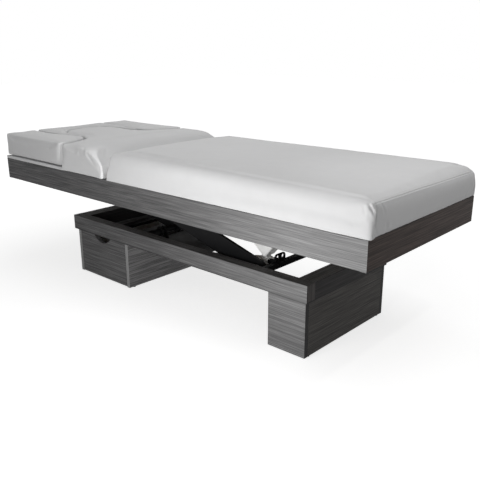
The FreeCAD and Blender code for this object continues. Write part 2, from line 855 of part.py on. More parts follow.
def actuator():
    """Rear bracket, motor housing, outer tube and the rod with its eye."""
    reach = actuator_reach()
    half_eye = rear_eye_width / 2
    block = span(-housing_start - housing_length, -housing_start, -housing_half_width,
                 housing_half_width, -housing_below, housing_above)
    block = soften(block, housing_round, lambda edge: along_axis(edge, V(0, 1, 0)))
    neck = span(-housing_start - cut_over, 0, -half_eye, half_eye, -rear_eye_radius, rear_eye_radius)
    eye = rod_y(0, 0, rear_eye_radius, -half_eye, half_eye)
    eye_hole = rod_y(0, 0, rear_pin_radius, -half_eye - cut_over, half_eye + cut_over)
    bore = along_rod(outer_tube_start, housing_start + housing_length + cut_over, outer_tube_radius)
    gearbox = laid_on_axis(block.fuse([neck, eye]).removeSplitter())
    housing = gearbox.fuse(motor_block()).removeSplitter()
    housing = housing.cut(laid_on_axis(eye_hole)).cut(laid_on_axis(bore))
    rod_tip = reach - rod_neck
    outer_tube_end = rod_tip - rod_bare
    tube = along_rod(outer_tube_start, outer_tube_end, outer_tube_radius)
    tube = tube.cut(along_rod(outer_tube_start + tube_wall, outer_tube_end + cut_over,
                              rod_radius + slide_gap))
    rod = along_rod(outer_tube_end - rod_tail, rod_tip, rod_radius)
    travel = lever_length * (1 - math.cos(lever_swing))
    half_rod_eye = rod_eye_width / 2
    rod_eye = link_y((-rod_tip, travel / 2), (-reach, travel / 2), rod_eye_radius,
                     -half_rod_eye, half_rod_eye)
    slot = link_y((-reach, 0), (-reach, travel), lever_pin_radius + rod_slot_clear,
                  -half_rod_eye - cut_over, half_rod_eye + cut_over)
    shank = span(-rod_tip, -rod_tip + 2 * rod_eye_radius, -2 * rod_eye_radius, 2 * rod_eye_radius,
                 -2 * rod_eye_radius, 2 * rod_eye_radius)
    rod_end = rod_eye.cut(slot).cut(shank)
    return {
        "actuator_rear_bracket": rear_bracket(),
        "actuator_housing": [housing],
        "actuator_tube": [laid_on_axis(tube)],
        "actuator_rod": [laid_on_axis(rod), laid_on_axis(rod_end)],
    }


def top_frame():
    """The wooden apron: end panels run the full width, side panels sit between them."""
    inner_x = half_length - apron_thick
    inner_y = half_width - apron_thick
    low = apron_bottom_z
    platform = span(-inner_x, inner_x, -inner_y, inner_y, platform_bottom_z, top_z)
    for x0, x1, y0, y1 in hinge_leaf_spans():
        platform = platform.cut(span(x0, x1, y0, y1, top_z - hinge_leaf_thick, top_z + cut_over))
    return {
        "apron_front": wood_panel(-inner_x, inner_x, -half_width, -inner_y, low, top_z),
        "apron_rear": wood_panel(-inner_x, inner_x, inner_y, half_width, low, top_z),
        "apron_head": wood_panel(-half_length, -inner_x, -half_width, half_width, low, top_z),
        "apron_foot": wood_panel(inner_x, half_length, -half_width, half_width, low, top_z),
        "platform_board": platform,
    }


def top_steel():
    """Steel rails and crossbars under the platform, with the brackets of the upper pivots."""
    outer = arm_outer_y + spacer_gap + top_pin_space
    high = platform_bottom_z
    low = top_steel_low
    rails = both_sides(lambda side: hollow_bar(
        V(-top_rail_length / 2, min(side * outer, side * (outer - top_rail_width)), low),
        V(top_rail_length / 2, max(side * outer, side * (outer - top_rail_width)), high),
        top_rail_wall, "x"))
    inner = outer - top_rail_width
    bars = []
    places = [share * (top_rail_length - top_cross_width) / 2 for share in top_cross_shares]
    for x in places + [head_upper_x]:
        bars.append(hollow_bar(V(x - top_cross_width / 2, -inner, low),
                               V(x + top_cross_width / 2, inner, high), top_rail_wall, "y"))
    brackets = []
    pins = []
    half = bracket_width / 2
    head_outer = head_arm_outer_y + spacer_gap + top_pin_space
    for side in (-1, 1):
        y0 = side * outer
        y1 = side * (outer + bracket_thick)
        tongue = link_y((foot_upper_x, upper_pivot_z), (foot_upper_x, low), bracket_foot_radius, y0, y1)
        plate = span(foot_upper_x - half, foot_upper_x + half, y0, y1, low, high)
        brackets.append(tongue.fuse(plate).removeSplitter())
        pins.append(stub_pin(foot_upper_x, upper_pivot_z, y0, side, arm_outer_y))
        y0 = side * head_outer
        y1 = side * (head_outer + bracket_thick)
        tongue = link_y((head_upper_x, head_upper_z), (head_upper_x, low), head_bracket_radius, y0, y1)
        above = span(head_upper_x - half, head_upper_x + half, y0, y1, low, high)
        brackets.append(tongue.cut(above))
        pins.append(stub_pin(head_upper_x, head_upper_z, y0, side, head_arm_outer_y))
    return {
        "top_rails": rails,
        "top_crossbars": bars,
        "upper_pivot_brackets": brackets,
        "upper_pivot_pins": pins,
    }


def hinge_leaf_spans():
    """Plan limits of the two fixed hinge leaves."""
    half = hinge_width / 2
    spans = []
    for side in (-1, 1):
        y = side * hinge_centre_y
        spans.append((hinge_x - knuckle_radius, hinge_x + hinge_leaf_length, y - half, y + half))
    return spans


def back_hinges():
    """Two hinges: fixed leaves in the platform, moving leaves in the back board, pins."""
    half = hinge_width / 2
    fixed = []
    moving = []
    pins = []
    for x0, x1, y0, y1 in hinge_leaf_spans():
        y = (y0 + y1) / 2
        leaf = span(x0, x1, y0, y1, top_z - hinge_leaf_thick, top_z)
        apart = hinge_knuckle / 2 + slide_gap
        for low_y, high_y in ((y0, y - apart), (y + apart, y1)):
            web = span(hinge_x - hinge_web_half, hinge_x + hinge_web_half, low_y, high_y,
                       top_z - hinge_leaf_thick, hinge_z)
            leaf = leaf.fuse([web, rod_y(hinge_x, hinge_z, knuckle_radius, low_y, high_y)])
        hole = rod_y(hinge_x, hinge_z, hinge_pin_radius, y0 - cut_over, y1 + cut_over)
        fixed.append(leaf.removeSplitter().cut(hole))
        leaf_low = board_bottom_z + soft_gap
        plate = span(board_foot_x() - hinge_leaf_length, board_foot_x(), y - half, y + half,
                     leaf_low, leaf_low + hinge_leaf_thick)
        tongue = span(board_foot_x(), hinge_x, y - hinge_knuckle / 2, y + hinge_knuckle / 2,
                      leaf_low, leaf_low + hinge_leaf_thick)
        knuckle = rod_y(hinge_x, hinge_z, knuckle_radius, y - hinge_knuckle / 2, y + hinge_knuckle / 2)
        running = rod_y(hinge_x, hinge_z, hinge_pin_radius + turn_gap, y0 - cut_over, y1 + cut_over)
        moving.append(plate.fuse([tongue, knuckle]).removeSplitter().cut(running))
        pins.append(rod_y(hinge_x, hinge_z, hinge_pin_radius, y0, y1))
    return {"hinge_fixed_leaves": fixed, "hinge_moving_leaves": moving, "hinge_pins": pins}


def board_foot_x():
    """The back board's end at the hinge."""
    return back_end_x - board_end_gap


def board_solid(grow):
    """The back board's shape, grown for the pocket in the cushion."""
    low = board_bottom_z - grow
    high = board_top_z + grow
    wide = span(-half_length - grow, shoulder_x - seam_gap + grow, -half_width - grow,
                half_width + grow, low, high)
    inner = half_width - board_skirt
    narrow = span(shoulder_x - seam_gap, board_foot_x() + grow, -inner - grow, inner + grow, low, high)
    return wide.fuse(narrow).removeSplitter()


def back_board():
    """The thin board of the back section, with recesses for the hinges and dowel holes."""
    board = board_solid(0)
    for x0, x1, y0, y1 in hinge_leaf_spans():
        board = board.cut(span(board_foot_x() - hinge_leaf_length, board_foot_x() + cut_over, y0, y1,
                               board_bottom_z - cut_over, board_bottom_z + soft_gap + hinge_leaf_thick))
    for x, y in dowel_places():
        board = board.cut(rod_z(x, y, dowel_radius + dowel_clear, board_bottom_z - cut_over,
                                board_top_z + cut_over))
    return board


def pad_dowels(side):
    """Plan places of an armrest's dowels."""
    points = [section_point(*shares) for shares in pad_dowel_shares]
    return [(point.x, side * point.y) for point in points]


def face_dowels():
    """Plan places of the face cushion's dowels."""
    points = [section_point(*shares) for shares in face_dowel_shares]
    return [(point.x, point.y) for point in points]


def dowel_places():
    """Plan places of every dowel in the back board."""
    return pad_dowels(-1) + pad_dowels(1) + face_dowels()


def dowel_set(places, foot_top):
    """Dowels under a pad, with a round foot where the pad is held clear of the board."""
    dowels = []
    foot_low = board_top_z + soft_gap
    for x, y in places:
        dowel = rod_z(x, y, dowel_radius, board_bottom_z + soft_gap, foot_top)
        if foot_top > foot_low + soft_gap:
            dowel = dowel.fuse(rod_z(x, y, dowel_foot_radius, foot_low, foot_top)).removeSplitter()
        dowels.append(dowel)
    return dowels


def mattress():
    """The long cushion of the seat and legs, with a lean at each end."""
    def outline_at(height_share):
        x0 = mattress_head_x + mattress_head_lean * height_share
        x1 = half_length - mattress_foot_lean * height_share
        return drawn_in_corners(x0, x1, -half_width, half_width, mattress_head_corner,
                                mattress_foot_corner, cushion_draw)
    centre = V((mattress_head_x + half_length) / 2, 0, 0)
    return padded_solid(outline_at, top_z, cushion_top_z - cushion_crown, mattress_edge,
                        cushion_crown, mattress_tuck, centre)


def tongue_outline(foot_x):
    """The back cushion in plan: shoulders at the hinge and a tongue towards the head end."""
    shoulder = shoulder_x
    corner = back_corner
    k = corner * (1 - math.sqrt(0.5))
    draw = cushion_draw
    wide = half_width
    pad = [section_point(*shares) for shares in pad_inner_shares]
    gap = seam_gap
    neck = V(pad[4].x, half_width * tongue_neck_share, 0)
    side = V(section_point(face_tip_share, 0).x, half_width * tongue_half_share, 0)
    tip_x = -half_length + section_length * tongue_tip_share
    tip_side = V(tip_x + side.y, side.y, 0)
    bend = side.y * (1 - math.sqrt(0.5))
    far = [
        (V(foot_x, wide - corner, 0), V(foot_x - k, wide - k, 0)),
        (V(foot_x - corner, wide, 0), V((foot_x + shoulder) / 2, wide - draw, 0)),
        (V(shoulder + corner, wide, 0), V(shoulder + k, wide - k, 0)),
        (V(shoulder, wide - corner, 0), None),
        (V(pad[0].x + gap, pad[0].y, 0), V(pad[1].x + gap, pad[1].y - gap, 0)),
        (V(pad[2].x + gap, pad[2].y - gap, 0), V(pad[3].x + gap, pad[3].y - gap, 0)),
        (neck, None),
        (side, None),
        (tip_side, V(tip_x + bend, side.y - bend, 0)),
        (V(tip_x, 0, 0), None),
    ]
    near = mirrored(far)
    closing = (near[0][0], V(foot_x - draw, 0, 0))
    return far[:-1] + near[1:] + [closing]


def back_roll_at(height_share):
    """How far the foot end of the back cushion rolls back at a share of its height."""
    return back_roll * (1 - math.sqrt(1 - height_share ** back_roll_power))


def back_cushion():
    """The back cushion, seated over the board with a pocket, and clear of the hinges."""
    def outline_at(height_share):
        return tongue_outline(back_end_x - back_roll_at(height_share))
    centre = V((back_end_x - back_roll + shoulder_x) / 2, 0, 0)
    solid = padded_solid(outline_at, board_bottom_z + soft_gap, cushion_top_z - cushion_crown,
                         back_edge, cushion_crown, back_tuck, centre, back_level_shares)
    solid = solid.cut(board_solid(0))
    for x0, x1, y0, y1 in hinge_leaf_spans():
        solid = solid.cut(span(board_foot_x() - hinge_leaf_length, hinge_x, y0 - hinge_cut_gap,
                               y1 + hinge_cut_gap, board_bottom_z - cut_over,
                               hinge_z + knuckle_radius + hinge_cut_gap))
    return solid


def armrest_outline():
    """The far armrest pad in plan: straight outside, bulged towards the bed's middle."""
    corner = pad_head_corner
    k = corner * (1 - math.sqrt(0.5))
    foot_corner = pad_corner
    foot_k = foot_corner * (1 - math.sqrt(0.5))
    pad = [section_point(*shares) for shares in pad_inner_shares]
    foot_x = pad[0].x
    head_x = -half_length + pad_head_tuck
    wide = half_width - pad_outer_tuck
    head_y = pad[-1].y
    return [
        (V(head_x, head_y + corner, 0), V(head_x + k, head_y + k, 0)),
        (V(head_x + corner, head_y, 0), pad[7]),
        (pad[6], pad[5]),
        (pad[4], pad[3]),
        (pad[2], pad[1]),
        (pad[0], None),
        (V(foot_x, wide - foot_corner, 0), V(foot_x - foot_k, wide - foot_k, 0)),
        (V(foot_x - foot_corner, wide, 0), V((foot_x + head_x) / 2, wide - pad_outer_tuck, 0)),
        (V(head_x + corner, wide, 0), V(head_x + k, wide - k, 0)),
        (V(head_x, wide - corner, 0), None),
    ]


def armrest(side):
    """An armrest pad, held clear of the board on its dowels."""
    outline = armrest_outline() if side > 0 else mirrored(armrest_outline())
    bottom = board_top_z + pad_rise
    xs = [start.x for start, middle in outline]
    ys = [start.y for start, middle in outline]
    centre = V((min(xs) + max(xs)) / 2, (min(ys) + max(ys)) / 2, 0)
    return padded_solid(lambda height_share: outline, bottom, cushion_top_z - pad_crown, pad_edge,
                        pad_crown, pad_outer_tuck, centre)


def face_outline():
    """The horseshoe cushion in plan, round the tongue and between the armrests."""
    gap = seam_gap
    pad = [section_point(*shares) for shares in pad_inner_shares]
    tongue_y = half_width * tongue_half_share + gap
    tip_x = section_point(face_tip_share, 0).x
    tongue_x = -half_length + section_length * tongue_tip_share - gap
    bend_x = tongue_x + tongue_y
    bend = tongue_y * (1 - math.sqrt(0.5))
    corner = pad_corner
    k = corner * (1 - math.sqrt(0.5))
    head_x = -half_length + pad_head_tuck
    outer_y = pad[-1].y - gap
    tip_mid_y = (tongue_y + pad[5].y - gap) / 2
    far = [
        (V(tongue_x, 0, 0), V(tongue_x + bend, tongue_y - bend, 0)),
        (V(bend_x, tongue_y, 0), None),
        (V(tip_x, tongue_y, 0), V(tip_x + gap, tip_mid_y, 0)),
        (V(tip_x, pad[5].y - gap - gap, 0), V(pad[5].x, pad[5].y - gap, 0)),
        (V(pad[6].x, pad[6].y - gap, 0), V(pad[7].x, pad[7].y - gap, 0)),
        (V(head_x + corner, outer_y, 0), V(head_x + k, outer_y - k, 0)),
        (V(head_x, outer_y - corner, 0), V(head_x + pad_outer_tuck, 0, 0)),
    ]
    near = mirrored(far)
    return far + near[1:]


def face_cushion():
    """The horseshoe face cushion."""
    outline = face_outline()
    return padded_solid(lambda height_share: outline, face_bottom_z, cushion_top_z, face_edge, 0,
                        pad_outer_tuck)


def all_pieces():
    """Every piece by its name."""
    pieces = {}
    for group in (base_frame(), drawer_cabinet(), foot_cabinet(), drawer(), runners(), base_steel(),
                  lift_arms(), actuator(), top_frame(), top_steel(), back_hinges()):
        pieces.update(group)
    pieces["floor_glides"] = floor_glides()
    pieces["control_box"] = control_box()
    pieces["back_board"] = back_board()
    pieces["mattress"] = mattress()
    pieces["back_cushion"] = back_cushion()
    pieces["armrest_near"] = armrest(-1)
    pieces["armrest_far"] = armrest(1)
    pad_low = board_top_z + pad_rise
    pieces["armrest_near_dowels"] = dowel_set(pad_dowels(-1), pad_low)
    pieces["armrest_far_dowels"] = dowel_set(pad_dowels(1), pad_low)
    pieces["face_cushion"] = face_cushion()
    pieces["face_cushion_dowels"] = dowel_set(face_dowels(), face_bottom_z)
    return pieces


def export(pieces):
    """Write each piece to a file under its own name."""
    os.makedirs("parts", exist_ok=True)
    for name, made in sorted(pieces.items()):
        solids = made if isinstance(made, list) else [made]
        flat = [solid for shape in solids for solid in shape.Solids]
        shape = flat[0] if len(flat) == 1 else Part.makeCompound(flat)
        shape.exportStep("parts/" + name + ".step")
        box_of = shape.BoundBox
        print(name, len(flat), shape.isValid(), round(shape.Volume),
              [round(v, 1) for v in (box_of.XMin, box_of.XMax, box_of.YMin, box_of.YMax,
                                     box_of.ZMin, box_of.ZMax)])


export(all_pieces())
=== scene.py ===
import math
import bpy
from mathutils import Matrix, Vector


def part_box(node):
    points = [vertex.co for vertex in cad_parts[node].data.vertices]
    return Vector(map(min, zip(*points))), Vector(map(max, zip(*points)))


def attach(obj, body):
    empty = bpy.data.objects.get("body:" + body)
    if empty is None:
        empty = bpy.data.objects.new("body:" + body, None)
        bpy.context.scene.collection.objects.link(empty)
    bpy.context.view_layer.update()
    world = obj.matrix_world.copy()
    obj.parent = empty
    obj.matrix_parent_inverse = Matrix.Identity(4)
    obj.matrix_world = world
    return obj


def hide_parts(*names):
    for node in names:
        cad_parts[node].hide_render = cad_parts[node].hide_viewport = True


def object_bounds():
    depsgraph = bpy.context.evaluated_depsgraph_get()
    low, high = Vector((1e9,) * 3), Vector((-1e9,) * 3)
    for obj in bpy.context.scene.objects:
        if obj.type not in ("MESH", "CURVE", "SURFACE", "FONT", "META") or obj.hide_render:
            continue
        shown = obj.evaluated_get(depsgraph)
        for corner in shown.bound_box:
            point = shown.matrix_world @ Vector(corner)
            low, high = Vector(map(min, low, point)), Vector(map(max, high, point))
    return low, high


bl_info = {
    "name": "Spa bed with cabinet base",
    "version": (1, 0, 0),
    "blender": (4, 5, 0),
    "location": "3D View > Sidebar > Spa bed",
    "description": "Dresses the spa bed: upholstery, laminate, steel and a plain studio stage",
    "category": "Object",
}

import bpy
import numpy as np
from mathutils import Matrix, Vector, noise

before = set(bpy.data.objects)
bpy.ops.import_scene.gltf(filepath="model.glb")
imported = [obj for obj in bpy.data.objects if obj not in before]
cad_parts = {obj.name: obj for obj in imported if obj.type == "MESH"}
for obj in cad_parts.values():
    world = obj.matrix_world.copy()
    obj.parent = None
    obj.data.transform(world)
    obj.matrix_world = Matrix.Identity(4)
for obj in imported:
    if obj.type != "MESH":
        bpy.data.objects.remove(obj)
cad_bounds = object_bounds()

MM = 0.001
X_AXIS, Y_AXIS, Z_AXIS = range(3)
TINY = 1e-9

# Places of the sockets of a node that mixes colours
MIX_FACTOR, MIX_FIRST, MIX_SECOND, MIX_RESULT = 0, 6, 7, 2

# A face looks along an axis where its normal reaches this far along it
FACING = 0.7


class Value:
    """A number in a shader; arithmetic on it adds the Math nodes."""

    def __init__(self, paint, socket):
        self.paint = paint
        self.socket = socket

    def _math(self, operation, *operands):
        return self.paint.add("ShaderNodeMath", {"operation": operation}, dict(enumerate(operands)))

    def __add__(self, other):
        return self._math("ADD", self, other)

    def __radd__(self, other):
        return self._math("ADD", other, self)

    def __sub__(self, other):
        return self._math("SUBTRACT", self, other)

    def __rsub__(self, other):
        return self._math("SUBTRACT", other, self)

    def __mul__(self, other):
        return self._math("MULTIPLY", self, other)

    def __rmul__(self, other):
        return self._math("MULTIPLY", other, self)

    def __gt__(self, other):
        return self._math("GREATER_THAN", self, other)

    def __abs__(self):
        return self._math("ABSOLUTE", self)


class Paint:
    """The shader of a material or world under construction."""

    def __init__(self, owner):
        owner.use_nodes = True
        self.owner = owner
        self.tree = owner.node_tree
        self.tree.nodes.clear()

    def add(self, kind, settings, values, out=0):
        """Add a node: its settings come first, then the values or links of its sockets."""
        node = self.tree.nodes.new(kind)
        for name, setting in settings.items():
            if name == "stops":
                ramp = node.color_ramp
                while len(ramp.elements) < len(setting):
                    ramp.elements.new(0.5)
                for element, (place, colour) in zip(ramp.elements, setting):
                    element.position = place
                    element.color = colour
            else:
                setattr(node, name, setting)
        for name, value in values.items():
            socket = node.inputs[name]
            if isinstance(value, Value):
                self.tree.links.new(value.socket, socket)
            else:
                socket.default_value = value
        return Value(self, node.outputs[out]) if len(node.outputs) else None

    def place(self):
        """Coordinates of the piece itself, in metres."""
        return self.add("ShaderNodeTexCoord", {}, {}, "Object")

    def height(self):
        """Height above the floor, in metres."""
        position = self.add("ShaderNodeNewGeometry", {}, {}, "Position")
        return self.add("ShaderNodeSeparateXYZ", {}, {"Vector": position}, "Z")

    def faces(self, axis):
        """1 on faces that look along an axis, and 0 elsewhere."""
        normal = self.add("ShaderNodeTexCoord", {}, {}, "Normal")
        return abs(self.add("ShaderNodeSeparateXYZ", {}, {"Vector": normal}, axis)) > FACING

    def plain_rays(self):
        """1 for what the camera sees, straight or in a gloss, and 0 for light on the object."""
        camera, glossy, through = (self.add("ShaderNodeLightPath", {}, {}, f"Is {kind} Ray")
                                   for kind in ("Camera", "Glossy", "Transmission"))
        return camera + glossy + through

    def stretched(self, place, scales):
        """Coordinates stretched along each axis."""
        return self.add("ShaderNodeVectorMath", {"operation": "MULTIPLY"}, {0: place, 1: scales})

    def noise(self, place, scale, detail=2.0, roughness=0.5):
        """Soft noise between 0 and 1."""
        return self.add("ShaderNodeTexNoise", {}, {
            "Vector": place, "Scale": scale, "Detail": detail, "Roughness": roughness}, "Fac")

    def ramp(self, factor, stops):
        """A colour by a factor, from stops of (place, colour)."""
        return self.add("ShaderNodeValToRGB", {"stops": stops}, {"Fac": factor}, "Color")

    def remap(self, value, low, high, new_low=0.0, new_high=1.0):
        """The value moved from one range to another, and held inside it."""
        return self.add("ShaderNodeMapRange", {}, {
            "Value": value, "From Min": low, "From Max": high,
            "To Min": new_low, "To Max": new_high})

    def blend(self, factor, first, second, how="MIX"):
        """Two colours mixed by a factor."""
        return self.add("ShaderNodeMix", {"data_type": "RGBA", "blend_type": how}, {
            MIX_FACTOR: factor, MIX_FIRST: first, MIX_SECOND: second}, MIX_RESULT)

    def bump(self, height, strength, distance, normal=None):
        """A bumped normal."""
        values = {"Height": height, "Strength": strength, "Distance": distance}
        if normal is not None:
            values["Normal"] = normal
        return self.add("ShaderNodeBump", {}, values)

    def finish(self, values):
        """The surface shader with these values, joined to the output."""
        surface = self.add("ShaderNodeBsdfPrincipled", {}, values)
        self.add("ShaderNodeOutputMaterial", {}, {"Surface": surface})
        return self.owner


def new_paint(name):
    """The shader of a new material."""
    return Paint(bpy.data.materials.new(name))


def shade(colour, factor=1.0):
    """A colour with its alpha, made lighter or darker."""
    return tuple(channel * factor for channel in colour[:3]) + (1.0,)


# Hairs, veins and bands of the laminate: how much longer and thicker than a streak, and weight
GRAIN_LAYERS = ((1.2, 0.55, 0.45), (1.9, 1.15, 0.43), (4.0, 5.0, 0.12))
GRAIN_ROUGHNESS = 0.6

# Painted shadow under the base rails' lower edge: half width of its dark line and of the shade round it,
# and strength
JOINT_SHADOW_LINE = 2.0 * MM
JOINT_SHADE = 6.5 * MM
JOINT_SHADOW_STRENGTH = 0.9

# How strongly the laminate, powder coat and vinyl reflect at a right angle
DULL_SPECULAR = 0.12
VINYL_SPECULAR = 0.35


def grain(paint, place, settings, axis):
    """Hairs, veins and broad bands of grain along one axis."""
    layers = []
    for longer, thicker, weight in GRAIN_LAYERS:
        scales = [1.0 / (settings.streak_width * thicker)] * 3
        scales[axis] = 1.0 / (settings.streak_length * longer)
        streaks = paint.noise(paint.stretched(place, scales), scale=1.0, roughness=GRAIN_ROUGHNESS)
        layers.append(streaks * weight)
    hair, vein, band = layers
    return hair + vein + band


def laminate(name, settings, along_x, end_light_and_tint, edges, joint_z):
    """Dark laminate: its grain runs along the board, and round the corner on a board across the bed."""
    paint = new_paint(name)
    place = paint.place()
    faces_side = paint.faces("Y")
    faces_end = paint.faces("X")
    lengthwise = grain(paint, place, settings, X_AXIS)
    if along_x:
        upright = grain(paint, place, settings, Z_AXIS)
        mixed = lengthwise * (1.0 - faces_end) + upright * faces_end
    else:
        crosswise = grain(paint, place, settings, Y_AXIS)
        mixed = lengthwise * faces_side + crosswise * (1.0 - faces_side)
    tone = paint.remap(mixed, 0.5 - settings.contrast, 0.5 + settings.contrast)
    colour = paint.ramp(tone, ((0.0, shade(settings.dark)), (0.5, shade(settings.middle)),
                               (1.0, shade(settings.light))))
    # Painted shade and light: faces that look along X are multiplied by a tint set for how light falls on
    # them, darker on most boards and lighter on the drawer cabinet's sides, with a brownish tone of the
    # boards
    colour = paint.blend(faces_end, colour, shade(end_light_and_tint), "MULTIPLY")
    if edges == "dark ends":
        colour = paint.blend(faces_end, colour, shade(settings.dark, 0.6))
    if edges == "pale bands":
        fleck = paint.noise(place, scale=300.0)
        band = paint.ramp(fleck, ((0.3, shade(settings.edge, 0.8)),
                                  (0.7, shade(settings.edge, 1.15))))
        colour = paint.blend(faces_side, colour, band)
    # Painted shadow: a dark band at the height of the base rails' lower edge, on every laminate board,
    # where the rails overhang the cabinets
    joint_shadow = paint.remap(abs(paint.height() - joint_z), JOINT_SHADOW_LINE, JOINT_SHADE, JOINT_SHADOW_STRENGTH, 0.0)
    colour = paint.blend(joint_shadow, colour, shade(settings.dark, 0.3))
    roughness = paint.remap(mixed, 0.38, 0.62, settings.roughness + 0.06, settings.roughness - 0.05)
    return paint.finish({
        "Base Color": colour, "Roughness": roughness, "Specular IOR Level": DULL_SPECULAR,
        "Normal": paint.bump(mixed, strength=settings.relief, distance=0.6 * MM)})


def vinyl(name, settings):
    """Pale upholstery vinyl: fine leather grain, soft sheen, faint cloudiness."""
    paint = new_paint(name)
    place = paint.place()
    cloud = paint.noise(place, scale=4.0, detail=3.0)
    smudge = paint.noise(place, scale=21.0)
    tint = paint.remap(cloud * 0.7 + smudge * 0.3, 0.35, 0.65)
    colour = paint.ramp(tint, ((0.0, shade(settings.colour, 0.965)), (1.0, shade(settings.colour, 1.02))))
    cells = paint.add("ShaderNodeTexVoronoi", {"feature": "DISTANCE_TO_EDGE"}, {
        "Vector": place, "Scale": 1.0 / settings.grain_size, "Randomness": 1.0}, "Distance")
    pebble = paint.remap(cells, 0.0, 0.22)
    speck = paint.noise(place, scale=0.9 / settings.grain_size)
    slack = paint.noise(paint.stretched(place, (1.0, 1.7, 1.0)), scale=9.0)
    soft = paint.bump(slack, strength=0.10, distance=6.0 * MM)
    normal = paint.bump(pebble * 0.75 + speck * 0.25, settings.relief, 0.4 * MM, soft)
    roughness = paint.remap(tint * 0.6 + speck * 0.4, 0.2, 0.8, settings.roughness - 0.04,
                            settings.roughness + 0.06)
    return paint.finish({
        "Base Color": colour, "Roughness": roughness, "Normal": normal,
        "Specular IOR Level": VINYL_SPECULAR})


def powder_coat(name, colour):
    """Powder-coated steel: fine orange peel and faint dust."""
    paint = new_paint(name)
    place = paint.place()
    peel = paint.noise(place, scale=900.0)
    dust = paint.noise(place, scale=30.0, detail=4.0, roughness=0.65)
    tone = paint.blend(paint.remap(dust, 0.52, 0.75) * 0.35, shade(colour), shade(colour, 1.9))
    return paint.finish({
        "Base Color": tone, "Roughness": paint.remap(dust, 0.3, 0.7, 0.45, 0.60),
        "Normal": paint.bump(peel, strength=0.12, distance=0.3 * MM),
        "Specular IOR Level": DULL_SPECULAR})


def brushed(name, colour, roughness, brushing):
    """Bare metal: its brush lines are fine along the axes with a large number in brushing."""
    paint = new_paint(name)
    place = paint.place()
    lines = paint.noise(paint.stretched(place, brushing), scale=1.0, detail=3.0)
    stain = paint.noise(place, scale=45.0, detail=3.0)
    tone = paint.blend(paint.remap(stain, 0.45, 0.7, 0.0, 0.5), shade(colour), shade(colour, 0.72))
    return paint.finish({
        "Base Color": tone, "Metallic": 1.0,
        "Roughness": paint.remap(lines, 0.3, 0.7, roughness - 0.07, roughness + 0.09),
        "Normal": paint.bump(lines, strength=0.08, distance=0.2 * MM)})


def moulded(name, colour, roughness, relief=0.1):
    """Moulded plastic with a fine spark-eroded texture."""
    paint = new_paint(name)
    place = paint.place()
    spark = paint.noise(place, scale=1400.0)
    handled = paint.noise(place, scale=24.0, detail=3.0)
    tone = paint.ramp(paint.remap(handled, 0.35, 0.7),
                      ((0.0, shade(colour, 0.94)), (1.0, shade(colour, 1.05))))
    return paint.finish({
        "Base Color": tone, "Normal": paint.bump(spark, strength=relief, distance=0.2 * MM),
        "Roughness": paint.remap(handled, 0.3, 0.7, roughness - 0.04, roughness + 0.07)})


def raw_board(name, colour):
    """Unfaced board: pressed chips under a thin sealer."""
    paint = new_paint(name)
    place = paint.place()
    chips = paint.add("ShaderNodeTexVoronoi", {"feature": "F1"}, {
        "Vector": paint.stretched(place, (1.0, 0.6, 1.0)), "Scale": 260.0}, "Color")
    grey = paint.add("ShaderNodeRGBToBW", {}, {"Color": chips})
    haze = paint.noise(place, scale=12.0, detail=4.0)
    tone = paint.ramp(grey * 0.6 + haze * 0.4, (
        (0.15, shade(colour, 0.72)), (0.5, shade(colour)), (0.85, shade(colour, 1.22))))
    return paint.finish({
        "Base Color": tone, "Roughness": 0.72,
        "Normal": paint.bump(grey, strength=0.2, distance=0.3 * MM)})


def dress(nodes, material):
    """Give frame nodes their finish."""
    for node in nodes:
        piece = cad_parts[node]
        piece.data.materials.clear()
        piece.data.materials.append(material)


def new_piece(name, mesh, material, smooth=True):
    """A named piece in the scene from a mesh."""
    piece = bpy.data.objects.new(name, mesh)
    bpy.context.scene.collection.objects.link(piece)
    mesh.materials.clear()
    mesh.materials.append(material)
    mesh.polygons.foreach_set("use_smooth", [smooth] * len(mesh.polygons))
    return piece


def as_mesh(name, points, faces):
    """A mesh from arrays of points and faces."""
    mesh = bpy.data.meshes.new(name)
    mesh.from_pydata([tuple(point) for point in points], [], faces)
    mesh.update()
    return mesh


def points_of(mesh):
    """The mesh's points as an array."""
    flat = np.empty(len(mesh.vertices) * 3)
    mesh.vertices.foreach_get("co", flat)
    return flat.reshape(-1, 3)


def normals_of(mesh):
    """The mesh's point normals as an array."""
    flat = np.empty(len(mesh.vertices) * 3)
    mesh.vertex_normals.foreach_get("vector", flat)
    return flat.reshape(-1, 3)


def move_points(mesh, points):
    """Give the mesh new points."""
    mesh.vertices.foreach_set("co", points.ravel())
    mesh.update()


def eased(value, low, high):
    """0 below low, 1 above high, with a smooth change between."""
    share = np.clip((value - low) / (high - low), 0.0, 1.0)
    return share * share * (3.0 - 2.0 * share)


def between(low, high, share):
    """A value between two others."""
    return low + (high - low) * share


def evaluated_mesh(piece):
    """A new mesh of the piece with its modifiers applied."""
    graph = bpy.context.evaluated_depsgraph_get()
    return bpy.data.meshes.new_from_object(piece.evaluated_get(graph))


def apply_modifiers(piece):
    """Replace the piece's mesh by its shape with every modifier applied."""
    shaped = evaluated_mesh(piece)
    piece.modifiers.clear()
    piece.data = shaped


def soft_limit(distance, cap):
    """Distances that level off towards a cap."""
    return cap * np.tanh(distance / cap)


# The cloth that fills the cushions
CLOTH_FRAMES = 20
CLOTH_QUALITY = 4
CLOTH_MASS = 0.3
CLOTH_STRETCH = 12.0
CLOTH_BENDING = 0.4
CLOTH_PRESSURE = 4.0


